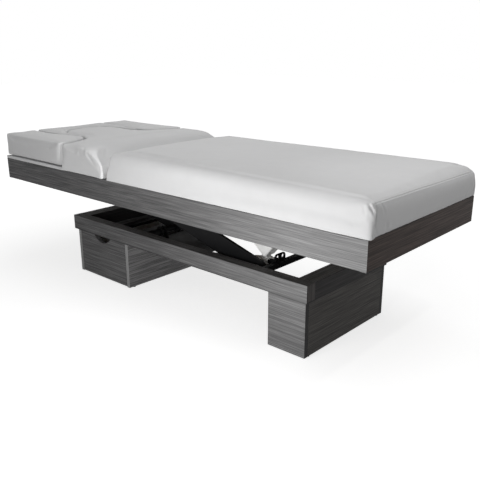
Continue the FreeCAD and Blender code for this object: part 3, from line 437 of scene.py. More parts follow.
def puff(piece, held, side_cap, top_cap):
    """Blow a closed cushion up as cloth under pressure, cap its points' moves, and keep the shape."""
    scene = bpy.context.scene
    before = points_of(piece.data)
    group = piece.vertex_groups.new(name="held")
    group.add([int(index) for index in np.nonzero(held)[0]], 1.0, "REPLACE")
    cloth = piece.modifiers.new("cloth", "CLOTH")
    settings = cloth.settings
    settings.quality = CLOTH_QUALITY
    settings.mass = CLOTH_MASS
    settings.tension_stiffness = CLOTH_STRETCH
    settings.compression_stiffness = CLOTH_STRETCH
    settings.bending_stiffness = CLOTH_BENDING
    settings.use_pressure = True
    settings.uniform_pressure_force = CLOTH_PRESSURE
    settings.effector_weights.gravity = 0.0
    settings.vertex_group_mass = "held"
    cloth.point_cache.frame_start = 1
    cloth.point_cache.frame_end = CLOTH_FRAMES
    for step in range(1, CLOTH_FRAMES + 1):
        scene.frame_set(step)
    shaped = evaluated_mesh(piece)
    move = points_of(shaped) - before
    bpy.data.meshes.remove(shaped)
    piece.modifiers.remove(cloth)
    piece.vertex_groups.remove(group)
    scene.frame_set(1)
    sideways = np.linalg.norm(move[:, :2], axis=1)
    ratio = soft_limit(sideways, side_cap) / np.maximum(sideways, TINY)
    move[:, :2] *= ratio[:, None]
    move[:, 2] = soft_limit(move[:, 2], top_cap)
    move_points(piece.data, before + move)


def divided(piece, values):
    """Subdivide the piece once and carry one value per point along."""
    carried = piece.data.attributes.new("carried", "FLOAT", "POINT")
    carried.data.foreach_set("value", values)
    divide = piece.modifiers.new("divide", "SUBSURF")
    divide.levels = 1
    divide.render_levels = 1
    apply_modifiers(piece)
    mesh = piece.data
    mesh.polygons.foreach_set("use_smooth", [True] * len(mesh.polygons))
    fresh = np.empty(len(mesh.vertices))
    mesh.attributes["carried"].data.foreach_get("value", fresh)
    mesh.attributes.remove(mesh.attributes["carried"])
    return fresh


def graded(marks, counts, pinch):
    """Places along an axis, closer together near each mark than between the marks."""
    places = [marks[0]]
    for start, end, count in zip(marks, marks[1:], counts):
        for step in range(1, count + 1):
            share = step / count
            share -= pinch * math.sin(2 * math.pi * share) / (2 * math.pi)
            places.append(start + (end - start) * share)
    return places


def block_grid(xs, ys, zs):
    """The surface of a block as a grid: its points and its faces."""
    found = {}
    points = []

    def point(i, j, k):
        if (i, j, k) not in found:
            found[i, j, k] = len(points)
            points.append((xs[i], ys[j], zs[k]))
        return found[i, j, k]

    far_x, far_y, far_z = len(xs) - 1, len(ys) - 1, len(zs) - 1
    faces = []

    def add(corners, flip):
        face = [point(*corner) for corner in corners]
        faces.append(face[::-1] if flip else face)

    for i in range(far_x):
        for j in range(far_y):
            for k, flip in ((far_z, False), (0, True)):
                add(((i, j, k), (i + 1, j, k), (i + 1, j + 1, k), (i, j + 1, k)), flip)
        for k in range(far_z):
            for j, flip in ((0, False), (far_y, True)):
                add(((i, j, k), (i + 1, j, k), (i + 1, j, k + 1), (i, j, k + 1)), flip)
    for j in range(far_y):
        for k in range(far_z):
            for i, flip in ((far_x, False), (0, True)):
                add(((i, j, k), (i, j + 1, k), (i, j + 1, k + 1), (i, j, k + 1)), flip)
    return np.array(points), faces


# A point moves with a rounded edge where it lies further than this share of the radius from its middle
ON_EDGE = 1e-6


def round_block(points, low, high, low_radii, high_radii):
    """Round a block's edges: each side has its own radius, which may differ from point to point."""
    offset = np.zeros_like(points)
    radii = np.zeros_like(points)
    heart = points.copy()
    for axis in range(3):
        value = points[:, axis]
        heart[:, axis] = np.clip(value, low[axis] + low_radii[axis], high[axis] - high_radii[axis])
        radii[:, axis] = np.where(value < heart[:, axis], low_radii[axis], high_radii[axis])
        offset[:, axis] = (value - heart[:, axis]) / radii[:, axis]
    length = np.maximum(np.linalg.norm(offset, axis=1), TINY)
    rounded = heart + radii * offset / length[:, None]
    return np.where((length > ON_EDGE)[:, None], rounded, points)


def along_segment(points, start, end):
    """Each point's distance from a segment, and its place along it from 0 to 1."""
    start = np.array(start)
    run = np.array(end) - start
    share = np.clip(((points - start) @ run) / (run @ run), 0.0, 1.0)
    nearest = start + share[:, None] * run
    return np.linalg.norm(points - nearest, axis=1), share


# Name, nodes, whether the grain runs along X, the tint of the faces that look along X, and edges. The
# tint is painted shade that darkens those faces, painted light on the drawer cabinet's sides, and a
# brownish tone of the boards
LAMINATES = (
    ("long_boards", ("apron_front", "apron_rear", "base_rail_front", "base_rail_rear", "drawer_front",
                     "drawer_cabinet_back", "drawer_cabinet_floor", "foot_cabinet_floor"),
     True, (0.60, 0.56, 0.54), "plain"),
    ("apron_ends", ("apron_head", "apron_foot"), False, (0.38, 0.27, 0.23), "plain"),
    ("rail_ends", ("base_rail_head", "base_rail_foot"), False, (0.21, 0.195, 0.20), "plain"),
    ("foot_cabinet_sides", ("foot_cabinet_inner_side", "foot_cabinet_outer_side"),
     False, (0.66, 0.635, 0.59), "plain"),
    ("foot_cabinet_fronts", ("foot_cabinet_front", "foot_cabinet_rear"),
     True, (1.0, 1.0, 1.0), "dark ends"),
    ("drawer_cabinet_sides", ("drawer_cabinet_side_head", "drawer_cabinet_side_foot"),
     False, (2.0, 2.0, 2.0), "pale bands"),
)
BLACK_STEEL = (
    "base_side_plates", "base_cross_bars", "actuator_crossbar", "foot_arm_near",
    "foot_arm_far", "foot_arm_cross_tube", "head_arm_near", "head_arm_far", "head_arm_torque_tube",
    "lift_lever", "top_rails", "top_crossbars", "upper_pivot_brackets", "actuator_rear_bracket",
)
PLAIN_STEEL = (
    "lower_pivot_pins", "upper_pivot_pins", "hinge_fixed_leaves", "hinge_moving_leaves",
    "hinge_pins", "armrest_near_dowels", "armrest_far_dowels", "face_cushion_dowels",
)
RUNNERS = ("runner_outer_members", "runner_middle_members", "runner_inner_members")
DRAWER_BOX = ("drawer_side_head", "drawer_side_foot", "drawer_back", "drawer_bottom")

# Lines per metre along each axis of brushed metal
EVEN_BRUSHING = (300.0, 300.0, 300.0)
BRUSHED_ALONG_Y = (900.0, 25.0, 900.0)
POLISHED_ALONG_X = (60.0, 900.0, 900.0)
DRAWN_ALONG_X = (40.0, 900.0, 900.0)


def colour_field(name, description, default):
    """A colour that a user may change."""
    return bpy.props.FloatVectorProperty(
        name=name, description=description, subtype="COLOR", size=3, default=default)


def length_field(name, description, default, low, high):
    """A length that a user may change."""
    return bpy.props.FloatProperty(
        name=name, description=description, unit="LENGTH", default=default, min=low, max=high)


def share_field(name, description, default, low=0.0, high=1.0):
    """A share that a user may change."""
    return bpy.props.FloatProperty(
        name=name, description=description, subtype="FACTOR", default=default, min=low, max=high)


def angle_field(name, description, default):
    """An angle that a user may change."""
    return bpy.props.FloatProperty(name=name, description=description, subtype="ANGLE", default=default)


def length_of(setting):
    """A length from the settings, rounded to the micrometre, so that every run uses the same one."""
    return round(setting, 6)


class LaminateSettings(bpy.types.PropertyGroup):
    """Laminate"""
    dark: colour_field("Dark streaks", "Colour of the darkest streaks", (0.036, 0.0355, 0.036))
    middle: colour_field("Ground", "Main colour of the laminate", (0.093, 0.0915, 0.0925))
    light: colour_field("Light streaks", "Colour of the lightest streaks", (0.185, 0.183, 0.184))
    edge: colour_field("Pale edges", "Colour of the drawer cabinet's edge bands", (0.30, 0.30, 0.30))
    contrast: share_field("Contrast", "How little of the noise spans dark to light", 0.11, 0.01, 0.5)
    streak_length: length_field("Streak length", "Typical length of a streak", 110 * MM, 5 * MM, 1.0)
    streak_width: length_field("Streak width", "Typical width of a streak", 2.1 * MM, 0.2 * MM, 50 * MM)
    roughness: share_field("Roughness", "Roughness of the laminate's face", 0.58)
    relief: share_field("Relief", "Depth of the embossed streaks", 0.35)


class MetalSettings(bpy.types.PropertyGroup):
    """Metal, plastic and unfaced board"""
    black_steel: colour_field("Black steel", "Powder coat of the frame and arms", (0.004, 0.004, 0.0045))
    tray: colour_field("Tray", "Powder coat of the tray", (0.016, 0.016, 0.017))
    plain_steel: colour_field("Plain steel", "Zinc of the pins and hinges", (0.62, 0.62, 0.63))
    runner: colour_field("Runners", "Rolled zinc of the drawer runners", (0.60, 0.61, 0.63))
    chrome: colour_field("Rod", "Chrome of the actuator's rod", (0.74, 0.74, 0.76))
    aluminium: colour_field("Tube", "Aluminium of the actuator's tube", (0.66, 0.67, 0.69))
    pale_plastic: colour_field("Motor housing", "Plastic of the motor housing", (0.95, 0.95, 0.94))
    black_plastic: colour_field("Control box", "Plastic of the box and glides", (0.02, 0.02, 0.022))
    melamine: colour_field("Drawer box", "Melamine of the drawer's inside", (0.55, 0.55, 0.54))
    particle_board: colour_field("Platform", "Chips of the platform board", (0.36, 0.27, 0.18))


class VinylSettings(bpy.types.PropertyGroup):
    """Upholstery vinyl"""
    colour: colour_field("Colour", "Colour of the vinyl", (0.76, 0.76, 0.763))
    grain_size: length_field("Grain size", "Size of the leather grain", 1.6 * MM, 0.2 * MM, 10 * MM)
    roughness: share_field("Roughness", "Roughness of the vinyl", 0.55)
    relief: share_field("Relief", "Depth of the leather grain", 0.22)


class CushionSettings(bpy.types.PropertyGroup):
    """Cushions"""
    side_fullness: length_field(
        "Side fullness", "How far a cushion's sides may swell", 2.6 * MM, 0.1 * MM, 10 * MM)
    top_fullness: length_field(
        "Top fullness", "How far a cushion's top may swell", 4.0 * MM, 0.1 * MM, 10 * MM)
    edge_rise: length_field(
        "Edge rise", "How much fuller a cushion's top edge is made", 7 * MM, 0.0, 15 * MM)
    crown: length_field(
        "Mattress crown", "How far the mattress rises towards its middle", 5 * MM, 0.0, 15 * MM)
    seam_inset: length_field(
        "Seam inset", "From the mattress's sides to its foot panel's seams", 22 * MM, 5 * MM, 60 * MM)
    seam_depth: length_field(
        "Seam depth", "How deep the stitches pull a seam in", 2.6 * MM, 0.0, 5 * MM)


class StageSettings(bpy.types.PropertyGroup):
    """Camera"""
    camera_place: bpy.props.FloatVectorProperty(
        name="Camera", description="Place of the camera", subtype="TRANSLATION", size=3,
        default=(1.79046, -1.75638, 1.00372))
    camera_turn: angle_field("Turn", "Heading of the camera about the vertical", 0.7396)
    camera_drop: angle_field("Drop", "How far the camera looks down", 0.3068)
    camera_roll: angle_field("Roll", "Roll of the camera", -0.004)
    camera_lens: bpy.props.FloatProperty(
        name="Lens", description="Focal length in millimetres on a 36 mm sensor", default=46.468)


class SPABED_OT_boards(bpy.types.Operator):
    """Give the aprons, rails, cabinets and platform their board finishes"""
    bl_idname = "spabed.boards"
    bl_label = "Boards"

    def execute(self, context):
        settings = context.scene.spabed_laminate
        joint_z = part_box("base_rail_front")[0][2]
        # Each row's tint is painted shade and light on the faces that look along X
        for name, nodes, along_x, tint, edges in LAMINATES:
            dress(nodes, laminate(name, settings, along_x, tint, edges, joint_z))
        chips = raw_board("particle_board", context.scene.spabed_metal.particle_board)
        dress(("platform_board",), chips)
        return {"FINISHED"}


class SPABED_OT_steelwork(bpy.types.Operator):
    """Finish the steel frame, arms, tray, pins, hinges and dowels"""
    bl_idname = "spabed.steelwork"
    bl_label = "Steelwork"

    def execute(self, context):
        colours = context.scene.spabed_metal
        dress(BLACK_STEEL, powder_coat("black_powder_coat", colours.black_steel))
        dress(("base_tray",), powder_coat("grey_black_powder_coat", colours.tray))
        dress(PLAIN_STEEL, brushed("zinc_plated_steel", colours.plain_steel, 0.32, EVEN_BRUSHING))
        return {"FINISHED"}


class SPABED_OT_drive(bpy.types.Operator):
    """Finish the actuator, the control box and the floor glides"""
    bl_idname = "spabed.drive"
    bl_label = "Actuator and control box"

    def execute(self, context):
        colours = context.scene.spabed_metal
        dress(("actuator_rod",), brushed("chromed_rod", colours.chrome, 0.12, POLISHED_ALONG_X))
        dress(("actuator_tube",), brushed("drawn_aluminium", colours.aluminium, 0.34, DRAWN_ALONG_X))
        dress(("actuator_housing",), moulded("pale_plastic", colours.pale_plastic, 0.45))
        dress(("control_box", "floor_glides"), moulded("black_plastic", colours.black_plastic, 0.5))
        return {"FINISHED"}


class SPABED_OT_drawer_box(bpy.types.Operator):
    """Finish the inside of the drawer and its runners"""
    bl_idname = "spabed.drawer_box"
    bl_label = "Drawer box and runners"

    def execute(self, context):
        colours = context.scene.spabed_metal
        dress(DRAWER_BOX, moulded("grey_melamine", colours.melamine, 0.5, relief=0.05))
        dress(RUNNERS, brushed("rolled_zinc_sheet", colours.runner, 0.36, BRUSHED_ALONG_Y))
        return {"FINISHED"}


def vinyl_material(context):
    """The upholstery's material, made once."""
    made = bpy.data.materials.get("pale_vinyl")
    return made or vinyl("pale_vinyl", context.scene.spabed_vinyl)


# Edge radii of the mattress: low down and high up, then the same at its foot corner by the drawer
SIDE_RADII = (7 * MM, 34 * MM, 17 * MM, 24 * MM)
HEAD_RADII = (6 * MM, 30 * MM, 6 * MM, 30 * MM)
FOOT_RADII = (14 * MM, 36 * MM, 14 * MM, 24 * MM)
TOP_RADIUS = 33 * MM
TOP_RADIUS_AT_CORNER = 20 * MM
UNDER_RADIUS = 3.5 * MM

# Bands where one radius changes to another: below the top, before the foot face, beside the middle
RADIUS_CHANGE = (80 * MM, 30 * MM)
CORNER_CHANGE = (110 * MM, 25 * MM)
SIDE_CHANGE = 100 * MM

# Form of the mattress: its waist, the spread of its lower edge, and the band that it takes
WAIST = 3.5 * MM
LOWER_SPREAD = 5.5 * MM
LOWER_BAND = 55 * MM

# Its foot face: the band that moves, how far out it starts, its belly, and the corner's flare
FOOT_BAND = 60 * MM
FOOT_REACH = 3 * MM
FOOT_BELLY = 8 * MM
BELLY_LOWNESS = 1.5
BELLY_FALL = 0.25
CORNER_FLARE = 9 * MM
FLARE_SPAN = (0.86, 0.98)

# Its top seam drops towards the drawer's side, between these shares of the height
SEAM_TILT = 4 * MM
TILT_STARTS = (0.5, 0.85)
TILT_ENDS = (0.9, 1.0)

# The grid of the mattress: its margin, edge bands, steps along each axis and how closely they pinch
MATTRESS_MARGIN = 1.4 * MM
EDGE_BAND = 60 * MM
LENGTH_STEPS = (11, 78, 14)
WIDTH_STEPS = (10, 50, 10)
HEIGHT_STEPS = (17, 7)
LENGTH_PINCH = 0.45
SEAM_PINCH = 0.72

# Seams of the foot panel: height, width of the stitches, the soft dip and the raised lips beside them
SEAM_Z = 594 * MM
STITCH_WIDTH = 1.7 * MM
DIP_DEPTH = 1.4 * MM
DIP_WIDTH = 10 * MM
LIP_HEIGHT = 0.6 * MM
LIP_PLACE = 5 * MM
LIP_WIDTH = 2 * MM
FAR_AWAY = 1.0

# How far the mattress may swell sideways and upwards, and what is held
MATTRESS_SWELL = (2.2 * MM, 3.5 * MM)
HELD_BELOW = 2 * MM
HELD_BY_SEAM = 0.2 * MM

# Creases near a foot corner: two ends beside the drawer's side, depth and half width in millimetres
CORNER_CREASES = (
    ((963, -342, 606), (973, -338, 578), 4.6, 3.4),
    ((973, -337, 588), (976, -322, 550), 4.0, 3.6),
    ((952, -347, 600), (958, -349, 566), 2.4, 3.8),
    ((976, -306, 596), (978, -284, 562), 3.0, 4.0),
    ((979, -274, 536), (977, -252, 498), 2.6, 4.8),
    ((977, -332, 536), (975, -312, 499), 3.0, 4.6),
    ((978, -236, 530), (977, -222, 499), 1.6, 5.0),
    ((978, -150, 528), (977, -139, 499), 1.4, 5.0),
    ((978, 20, 524), (977, 29, 499), 1.2, 5.0),
)
FAR_CREASES = CORNER_CREASES[3:]

# A crease fades out between these shares of its length; its lips are this high, at two half widths
CREASE_SPAN = (0.06, 0.94)
CREASE_LIP = 0.45
CREASE_LIP_PLACE = 2.0

# Wrinkles of the hem: per metre sideways and upwards, shift and weight of each layer
WRINKLE_LAYERS = ((9.0, 90.0, 0.0, 1.0), (26.0, 170.0, 7.0, 0.6))
WRINKLE_REACH = 26 * MM
WRINKLE_DEPTH = 1.1 * MM
UPRIGHT_BELOW = 0.8


def edge_radius(radii, upper, corner):
    """The radius of an edge, which changes up the side and towards the foot corner by the drawer."""
    low, high, corner_low, corner_high = radii
    return between(between(low, corner_low, corner), between(high, corner_high, corner), upper)


def mattress_points(points, low, high, crown):
    """The block of the mattress with its edges rounded, its sides drawn in and its top crowned."""
    x, y, z = points.T
    upper = eased(z, high[2] - RADIUS_CHANGE[0], high[2] - RADIUS_CHANGE[1])
    corner = eased(x, high[0] - CORNER_CHANGE[0], high[0] - CORNER_CHANGE[1])
    corner = corner * eased(-y, -SIDE_CHANGE, SIDE_CHANGE)
    side, head, foot = (edge_radius(radii, upper, corner)
                        for radii in (SIDE_RADII, HEAD_RADII, FOOT_RADII))
    over = between(TOP_RADIUS, TOP_RADIUS_AT_CORNER, corner)
    under = np.full_like(x, UNDER_RADIUS)
    x, y, z = round_block(points, low, high, (head, side, under), (foot, side, over)).T
    half = (high - low) / 2
    middle = (high + low) / 2
    along = (x - middle[0]) / half[0]
    across = y / half[1]
    height = np.clip((z - low[2]) / (high[2] - low[2]), 0.0, 1.0)
    lower = 1.0 - eased(z, low[2], low[2] + LOWER_BAND)
    y = y * (1.0 - WAIST / half[1] * (1.0 - along ** 2)) + across * lower * LOWER_SPREAD
    foot_side = eased(x, high[0] - FOOT_BAND, high[0])
    flare = lower * eased(np.abs(across), *FLARE_SPAN) * eased(-y, 0.0, SIDE_CHANGE)
    belly = np.sin(math.pi * height ** BELLY_LOWNESS) * FOOT_BELLY
    belly = belly * (1.0 - BELLY_FALL * np.abs(across) ** 5)
    x = x + foot_side * (FOOT_REACH + belly + flare * CORNER_FLARE)
    z = z + height ** 2 * crown * (1.0 - along ** 8) * (1.0 - across ** 4)
    tilt = eased(height, *TILT_STARTS) * (1.0 - eased(height, *TILT_ENDS))
    z = z - foot_side * across * tilt * SEAM_TILT
    return np.stack((x, y, z), axis=1)


def seam_groove(distance, stitch_depth):
    """How deep the cover lies at each distance from the stitches."""
    profile = ((stitch_depth, 0.0, STITCH_WIDTH), (DIP_DEPTH, 0.0, DIP_WIDTH),
               (-LIP_HEIGHT, LIP_PLACE, LIP_WIDTH))
    return sum(depth * np.exp(-((distance - place) / width) ** 2) for depth, place, width in profile)


def crease_points(points, normals, creases, side):
    """Press creases into the surface; side is -1 for the drawer's side and 1 for the other."""
    for start, end, depth, half_width in creases:
        ends = []
        for x, y, z in (start, end):
            wanted = np.array((x, -side * y, z)) * MM
            ends.append(points[np.argmin(np.linalg.norm(points - wanted, axis=1))])
        distance, share = along_segment(points, *ends)
        fade = np.sin(math.pi * np.clip(share, *CREASE_SPAN))
        ratio = distance / (half_width * MM)
        shape = np.exp(-ratio ** 2) - CREASE_LIP * np.exp(-(ratio - CREASE_LIP_PLACE) ** 2)
        points = points - normals * (depth * MM * shape * fade)[:, None]
    return points


def hem_wrinkles(points, normals, low):
    """Fine wrinkles where the cover is pulled round the lower edge."""
    values = np.array([
        sum(weight * noise.noise(Vector((x * sideways, y * sideways, z * upwards + shift)))
            for sideways, upwards, shift, weight in WRINKLE_LAYERS)
        for x, y, z in points])
    weight = 1.0 - eased(points[:, 2], low, low + WRINKLE_REACH)
    weight *= np.abs(normals[:, 2]) < UPRIGHT_BELOW
    return points + normals * (values * weight * WRINKLE_DEPTH)[:, None]


def make_mattress(material, settings):
    """The mattress: a sewn cover with seams round its foot panel, puffed as cloth."""
    crown = length_of(settings.crown)
    low, high = (np.array(corner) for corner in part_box("mattress"))
    high[2] -= crown
    low[:2] += MATTRESS_MARGIN
    high[:2] -= MATTRESS_MARGIN
    seam_y = high[1] - length_of(settings.seam_inset)
    xs = graded((low[0], low[0] + EDGE_BAND, high[0] - EDGE_BAND, high[0]), LENGTH_STEPS, LENGTH_PINCH)
    ys = graded((low[1], -seam_y, seam_y, high[1]), WIDTH_STEPS, SEAM_PINCH)
    zs = graded((low[2], SEAM_Z, high[2]), HEIGHT_STEPS, SEAM_PINCH)
    flat, faces = block_grid(xs, ys, zs)
    shaped = mattress_points(flat, low, high, crown)
    piece = new_piece("mattress_cover", as_mesh("mattress_cover", shaped, faces), material)
    on_foot = flat[:, 0] > high[0] - MM
    to_top_seam = np.where(on_foot & (np.abs(flat[:, 1]) < seam_y + MM),
                           np.abs(flat[:, 2] - SEAM_Z), FAR_AWAY)
    to_side_seam = np.where(on_foot & (flat[:, 2] < SEAM_Z + MM),
                            np.abs(np.abs(flat[:, 1]) - seam_y), FAR_AWAY)
    seam = np.minimum(to_top_seam, to_side_seam)
    held = (flat[:, 2] < low[2] + HELD_BELOW) | (seam < HELD_BY_SEAM)
    puff(piece, held, *MATTRESS_SWELL)
    seam = divided(piece, seam)
    points = points_of(piece.data)
    normals = normals_of(piece.data)
    points = points - normals * seam_groove(seam, length_of(settings.seam_depth))[:, None]
    for side, creases in ((-1, CORNER_CREASES), (1, FAR_CREASES)):
        points = crease_points(points, normals, creases, side)
    move_points(piece.data, hem_wrinkles(points, normals, low[2]))
    return piece


# The other cushions: how far they shrink before they swell, and how their surface is relaxed
START_SHRINK = 1.0 * MM
RELAX_FACTOR = 0.5
RELAX_STEPS = 2

# Their top edge is lifted between the first two depths below the top; above, a share falls back
RISE_START = 50 * MM
RISE_FULL = 10 * MM
RISE_OVER = 3 * MM
RISE_BACK = 0.7

# Their lower edge spreads between these shares of the bed's half width, up to this height
SPREAD_FROM = 0.90
SPREAD_TO = 0.97
SPREAD_BAND = 60 * MM

# Name, node, body, voxel size, height that is held, spread of the lower edge, and how full it is
CUSHIONS = (
    ("back_cushion_cover", "back_cushion", "back", 6 * MM, 24 * MM, 8 * MM, 0.85),
    ("armrest_near_cover", "armrest_near", "armrest_near_pad", 5 * MM, 9 * MM, 0.0, 0.9),
    ("armrest_far_cover", "armrest_far", "armrest_far_pad", 5 * MM, 9 * MM, 0.0, 0.9),
    ("face_cushion_cover", "face_cushion", "face_pad", 5 * MM, 9 * MM, 0.0, 0.9),
)


def edge_lift(height, top, rise):
    """How far each height is lifted to make a top edge fuller without raising the crown."""
    edge = top - RISE_FULL
    lifted = eased(height, top - RISE_START, edge)
    return rise * (lifted - RISE_BACK * eased(height, edge, top + RISE_OVER))


def make_padded(name, node, voxel, material, hold_below, spread, settings):
    """A cushion from its frame node: remeshed, shrunk a little, puffed as cloth and smoothed."""
    piece = new_piece(name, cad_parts[node].data.copy(), material)
    remesh = piece.modifiers.new("remesh", "REMESH")
    remesh.mode = "VOXEL"
    remesh.voxel_size = voxel
    relax = piece.modifiers.new("relax", "SMOOTH")
    relax.factor = RELAX_FACTOR
    relax.iterations = RELAX_STEPS
    apply_modifiers(piece)
    points = points_of(piece.data)
    low = points[:, 2].min()
    points = points - normals_of(piece.data) * START_SHRINK
    move_points(piece.data, points)
    swell = length_of(settings.side_fullness), length_of(settings.top_fullness)
    puff(piece, points[:, 2] < low + hold_below, *swell)
    divided(piece, np.zeros(len(points)))
    points = points_of(piece.data)
    points[:, 2] += edge_lift(points[:, 2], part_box(node)[1][2], length_of(settings.edge_rise))
    half_width = cad_bounds[1][1]
    sides = eased(np.abs(points[:, 1]), SPREAD_FROM * half_width, SPREAD_TO * half_width)
    lower = 1.0 - eased(points[:, 2], low, low + SPREAD_BAND)
    points[:, 1] += np.sign(points[:, 1]) * sides * lower * spread
    move_points(piece.data, points)
    return piece


class SPABED_OT_mattress(bpy.types.Operator):
    """Make the long mattress of the seat and legs"""
    bl_idname = "spabed.mattress"
    bl_label = "Mattress"

    def execute(self, context):
        piece = make_mattress(vinyl_material(context), context.scene.spabed_cushions)
        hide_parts("mattress")
        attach(piece, "top")
        return {"FINISHED"}


class SPABED_OT_cushions(bpy.types.Operator):
    """Make the back cushion, the armrest pads and the face cushion, and cover the back board"""
    bl_idname = "spabed.cushions"
    bl_label = "Back, armrest and face cushions"

    def execute(self, context):
        material = vinyl_material(context)
        settings = context.scene.spabed_cushions
        for name, node, body, voxel, hold_below, spread, fill in CUSHIONS:
            piece = make_padded(name, node, voxel, material, hold_below, spread, settings)
            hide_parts(node)
            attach(piece, body)
        dress(("back_board",), material)
        return {"FINISHED"}


# The camera's sensor in millimetres and its clipping distances
SENSOR_WIDTH = 36.0
CLIP_START = 0.05
CLIP_END = 60.0

# The floor: half its width, its shade, and how brightly it shows near the bed and far away
FLOOR_REACH = 14.0
FLOOR_SHADE = 0.60
FLOOR_NEAR = 1.0
FLOOR_FAR = 2.6
FLOOR_GLOW_NEAR = 0.72
FLOOR_GLOW_FAR = 0.90

# How much the world lights the object; it shows as white behind it
WORLD_LEVEL = 0.28

# Each lamp's name, place, aim, size in metres and power in watts
LAMPS = (
    ("key", (0.62, -1.35, 0.42), (0.60, 0.0, 0.42), (0.7, 0.5), 8.6),
    ("overhead", (0.25, 0.2, 2.4), (0.15, 0.0, 0.5), (2.6, 1.4), 14.5),
    ("sheen", (0.28, -1.35, 0.12), (0.80, -0.35, 0.36), (0.45, 0.25), 95.0),
)

# Each spot's name, place, aim, angle in degrees and power in watts
SPOTS = (
    ("rim", (1.9, -0.66, 0.60), (-0.44, -0.35, 0.54), 9.5, 88.0),
    ("foot_end", (1.55, -0.05, 1.95), (0.97, 0.0, 0.60), 34.0, 11.0),
)
SPOT_BLEND = 0.8
SPOT_SIZE = 0.05


def add_camera(scene, settings):
    """The camera at the photograph's viewing angle."""
    data = bpy.data.cameras.new("camera")
    data.lens = settings.camera_lens
    data.sensor_width = SENSOR_WIDTH
    data.clip_start = CLIP_START
    data.clip_end = CLIP_END
    camera = bpy.data.objects.new("camera", data)
    scene.collection.objects.link(camera)
    turn = settings.camera_turn
    drop = settings.camera_drop
    ahead = Vector((-math.sin(turn) * math.cos(drop), math.cos(turn) * math.cos(drop), -math.sin(drop)))
    facing = ahead.to_track_quat("-Z", "Y").to_matrix().to_4x4()
    facing.translation = Vector(settings.camera_place)
    camera.rotation_mode = "QUATERNION"
    camera.matrix_world = facing @ Matrix.Rotation(settings.camera_roll, 4, "Z")
    scene.camera = camera


def add_floor():
    """A plain pale floor that keeps the shadow."""
    corners = [(side * FLOOR_REACH, depth * FLOOR_REACH, 0.0)
               for side, depth in ((-1, -1), (1, -1), (1, 1), (-1, 1))]
    paint = new_paint("floor_paint")
    away = paint.add("ShaderNodeVectorMath", {"operation": "LENGTH"}, {0: paint.place()}, "Value")
    glow = paint.remap(away, FLOOR_NEAR, FLOOR_FAR, FLOOR_GLOW_NEAR, FLOOR_GLOW_FAR)
    shine = paint.add("ShaderNodeEmission", {}, {"Strength": paint.plain_rays() * glow})
    diffuse = paint.add("ShaderNodeBsdfDiffuse", {}, {"Color": shade([FLOOR_SHADE] * 3)})
    both = paint.add("ShaderNodeAddShader", {}, {0: diffuse, 1: shine})
    paint.add("ShaderNodeOutputMaterial", {}, {"Surface": both})
    floor = new_piece("floor", as_mesh("floor", corners, [(0, 1, 2, 3)]), paint.owner, smooth=False)


def add_world(scene):
    """An even sky that lights softly and looks white."""
    world = bpy.data.worlds.new("studio")
    paint = Paint(world)
    level = paint.remap(paint.plain_rays(), 0.0, 1.0, WORLD_LEVEL, 1.0)
    sky = paint.add("ShaderNodeBackground", {}, {"Color": (1.0, 1.0, 1.0, 1.0), "Strength": level})
    paint.add("ShaderNodeOutputWorld", {}, {"Surface": sky})
    scene.world = world


def add_lamp(scene, kind, name, place, aim, power):
    """A lamp at a place, aimed at a point."""
    data = bpy.data.lights.new(name, kind)
    data.energy = power
    lamp = bpy.data.objects.new(name, data)
    scene.collection.objects.link(lamp)
    lamp.location = place
    lamp.rotation_euler = (Vector(aim) - Vector(place)).to_track_quat("-Z", "Y").to_euler()
    return lamp


def reflect_in_boards(lamp):
    """Let a lamp show only as a reflection along the laminate."""
    boards = bpy.data.collections.new("laminate_receivers")
    for row in LAMINATES:
        for node in row[1]:
            boards.objects.link(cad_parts[node])
    lamp.light_linking.receiver_collection = boards
    lamp.visible_diffuse = False


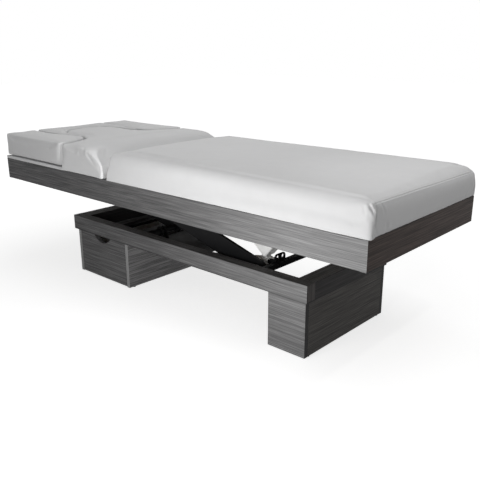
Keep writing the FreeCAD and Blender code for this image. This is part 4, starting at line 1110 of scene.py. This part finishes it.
def add_lights(scene):
    """A low key, a broad overhead light, a sheen on the laminate, and two spots on the covers."""
    for name, place, aim, size, power in LAMPS:
        lamp = add_lamp(scene, "AREA", name, place, aim, power)
        lamp.data.shape = "RECTANGLE"
        lamp.data.size, lamp.data.size_y = size
        lamp.visible_camera = False
        if name == "sheen":
            reflect_in_boards(lamp)
    for name, place, aim, angle, power in SPOTS:
        spot = add_lamp(scene, "SPOT", name, place, aim, power)
        spot.data.spot_size = math.radians(angle)
        spot.data.spot_blend = SPOT_BLEND
        spot.data.shadow_soft_size = SPOT_SIZE


class SPABED_OT_stage(bpy.types.Operator):
    """Add the floor, the lights and the camera"""
    bl_idname = "spabed.stage"
    bl_label = "Stage"

    def execute(self, context):
        scene = context.scene
        scene.view_settings.view_transform = "Standard"
        add_camera(scene, scene.spabed_stage)
        add_floor()
        add_world(scene)
        add_lights(scene)
        return {"FINISHED"}


STEPS = (SPABED_OT_stage, SPABED_OT_boards, SPABED_OT_steelwork, SPABED_OT_drive,
         SPABED_OT_drawer_box, SPABED_OT_mattress, SPABED_OT_cushions)
GROUPS = (("spabed_laminate", LaminateSettings), ("spabed_metal", MetalSettings),
          ("spabed_vinyl", VinylSettings), ("spabed_cushions", CushionSettings),
          ("spabed_stage", StageSettings))


class SPABED_PT_panel(bpy.types.Panel):
    """Lists the bed's steps and what a user may change"""
    bl_idname = "SPABED_PT_panel"
    bl_label = "Spa bed"
    bl_space_type = "VIEW_3D"
    bl_region_type = "UI"
    bl_category = "Spa bed"

    def draw(self, context):
        for step in STEPS:
            self.layout.operator(step.bl_idname)
        for name, group in GROUPS:
            box = self.layout.box()
            box.label(text=group.__doc__)
            for field in group.__annotations__:
                box.prop(getattr(context.scene, name), field)


def register():
    for name, group in GROUPS:
        bpy.utils.register_class(group)
        setattr(bpy.types.Scene, name, bpy.props.PointerProperty(type=group))
    for step in STEPS:
        bpy.utils.register_class(step)
    bpy.utils.register_class(SPABED_PT_panel)


def unregister():
    bpy.utils.unregister_class(SPABED_PT_panel)
    for step in reversed(STEPS):
        bpy.utils.unregister_class(step)
    for name, group in reversed(GROUPS):
        delattr(bpy.types.Scene, name)
        bpy.utils.unregister_class(group)


def main():
    """Dress the bed."""
    register()
    bpy.ops.spabed.stage()
    bpy.ops.spabed.boards()
    bpy.ops.spabed.steelwork()
    bpy.ops.spabed.drive()
    bpy.ops.spabed.drawer_box()
    bpy.ops.spabed.mattress()
    bpy.ops.spabed.cushions()


if __name__ == "__main__":
    main()
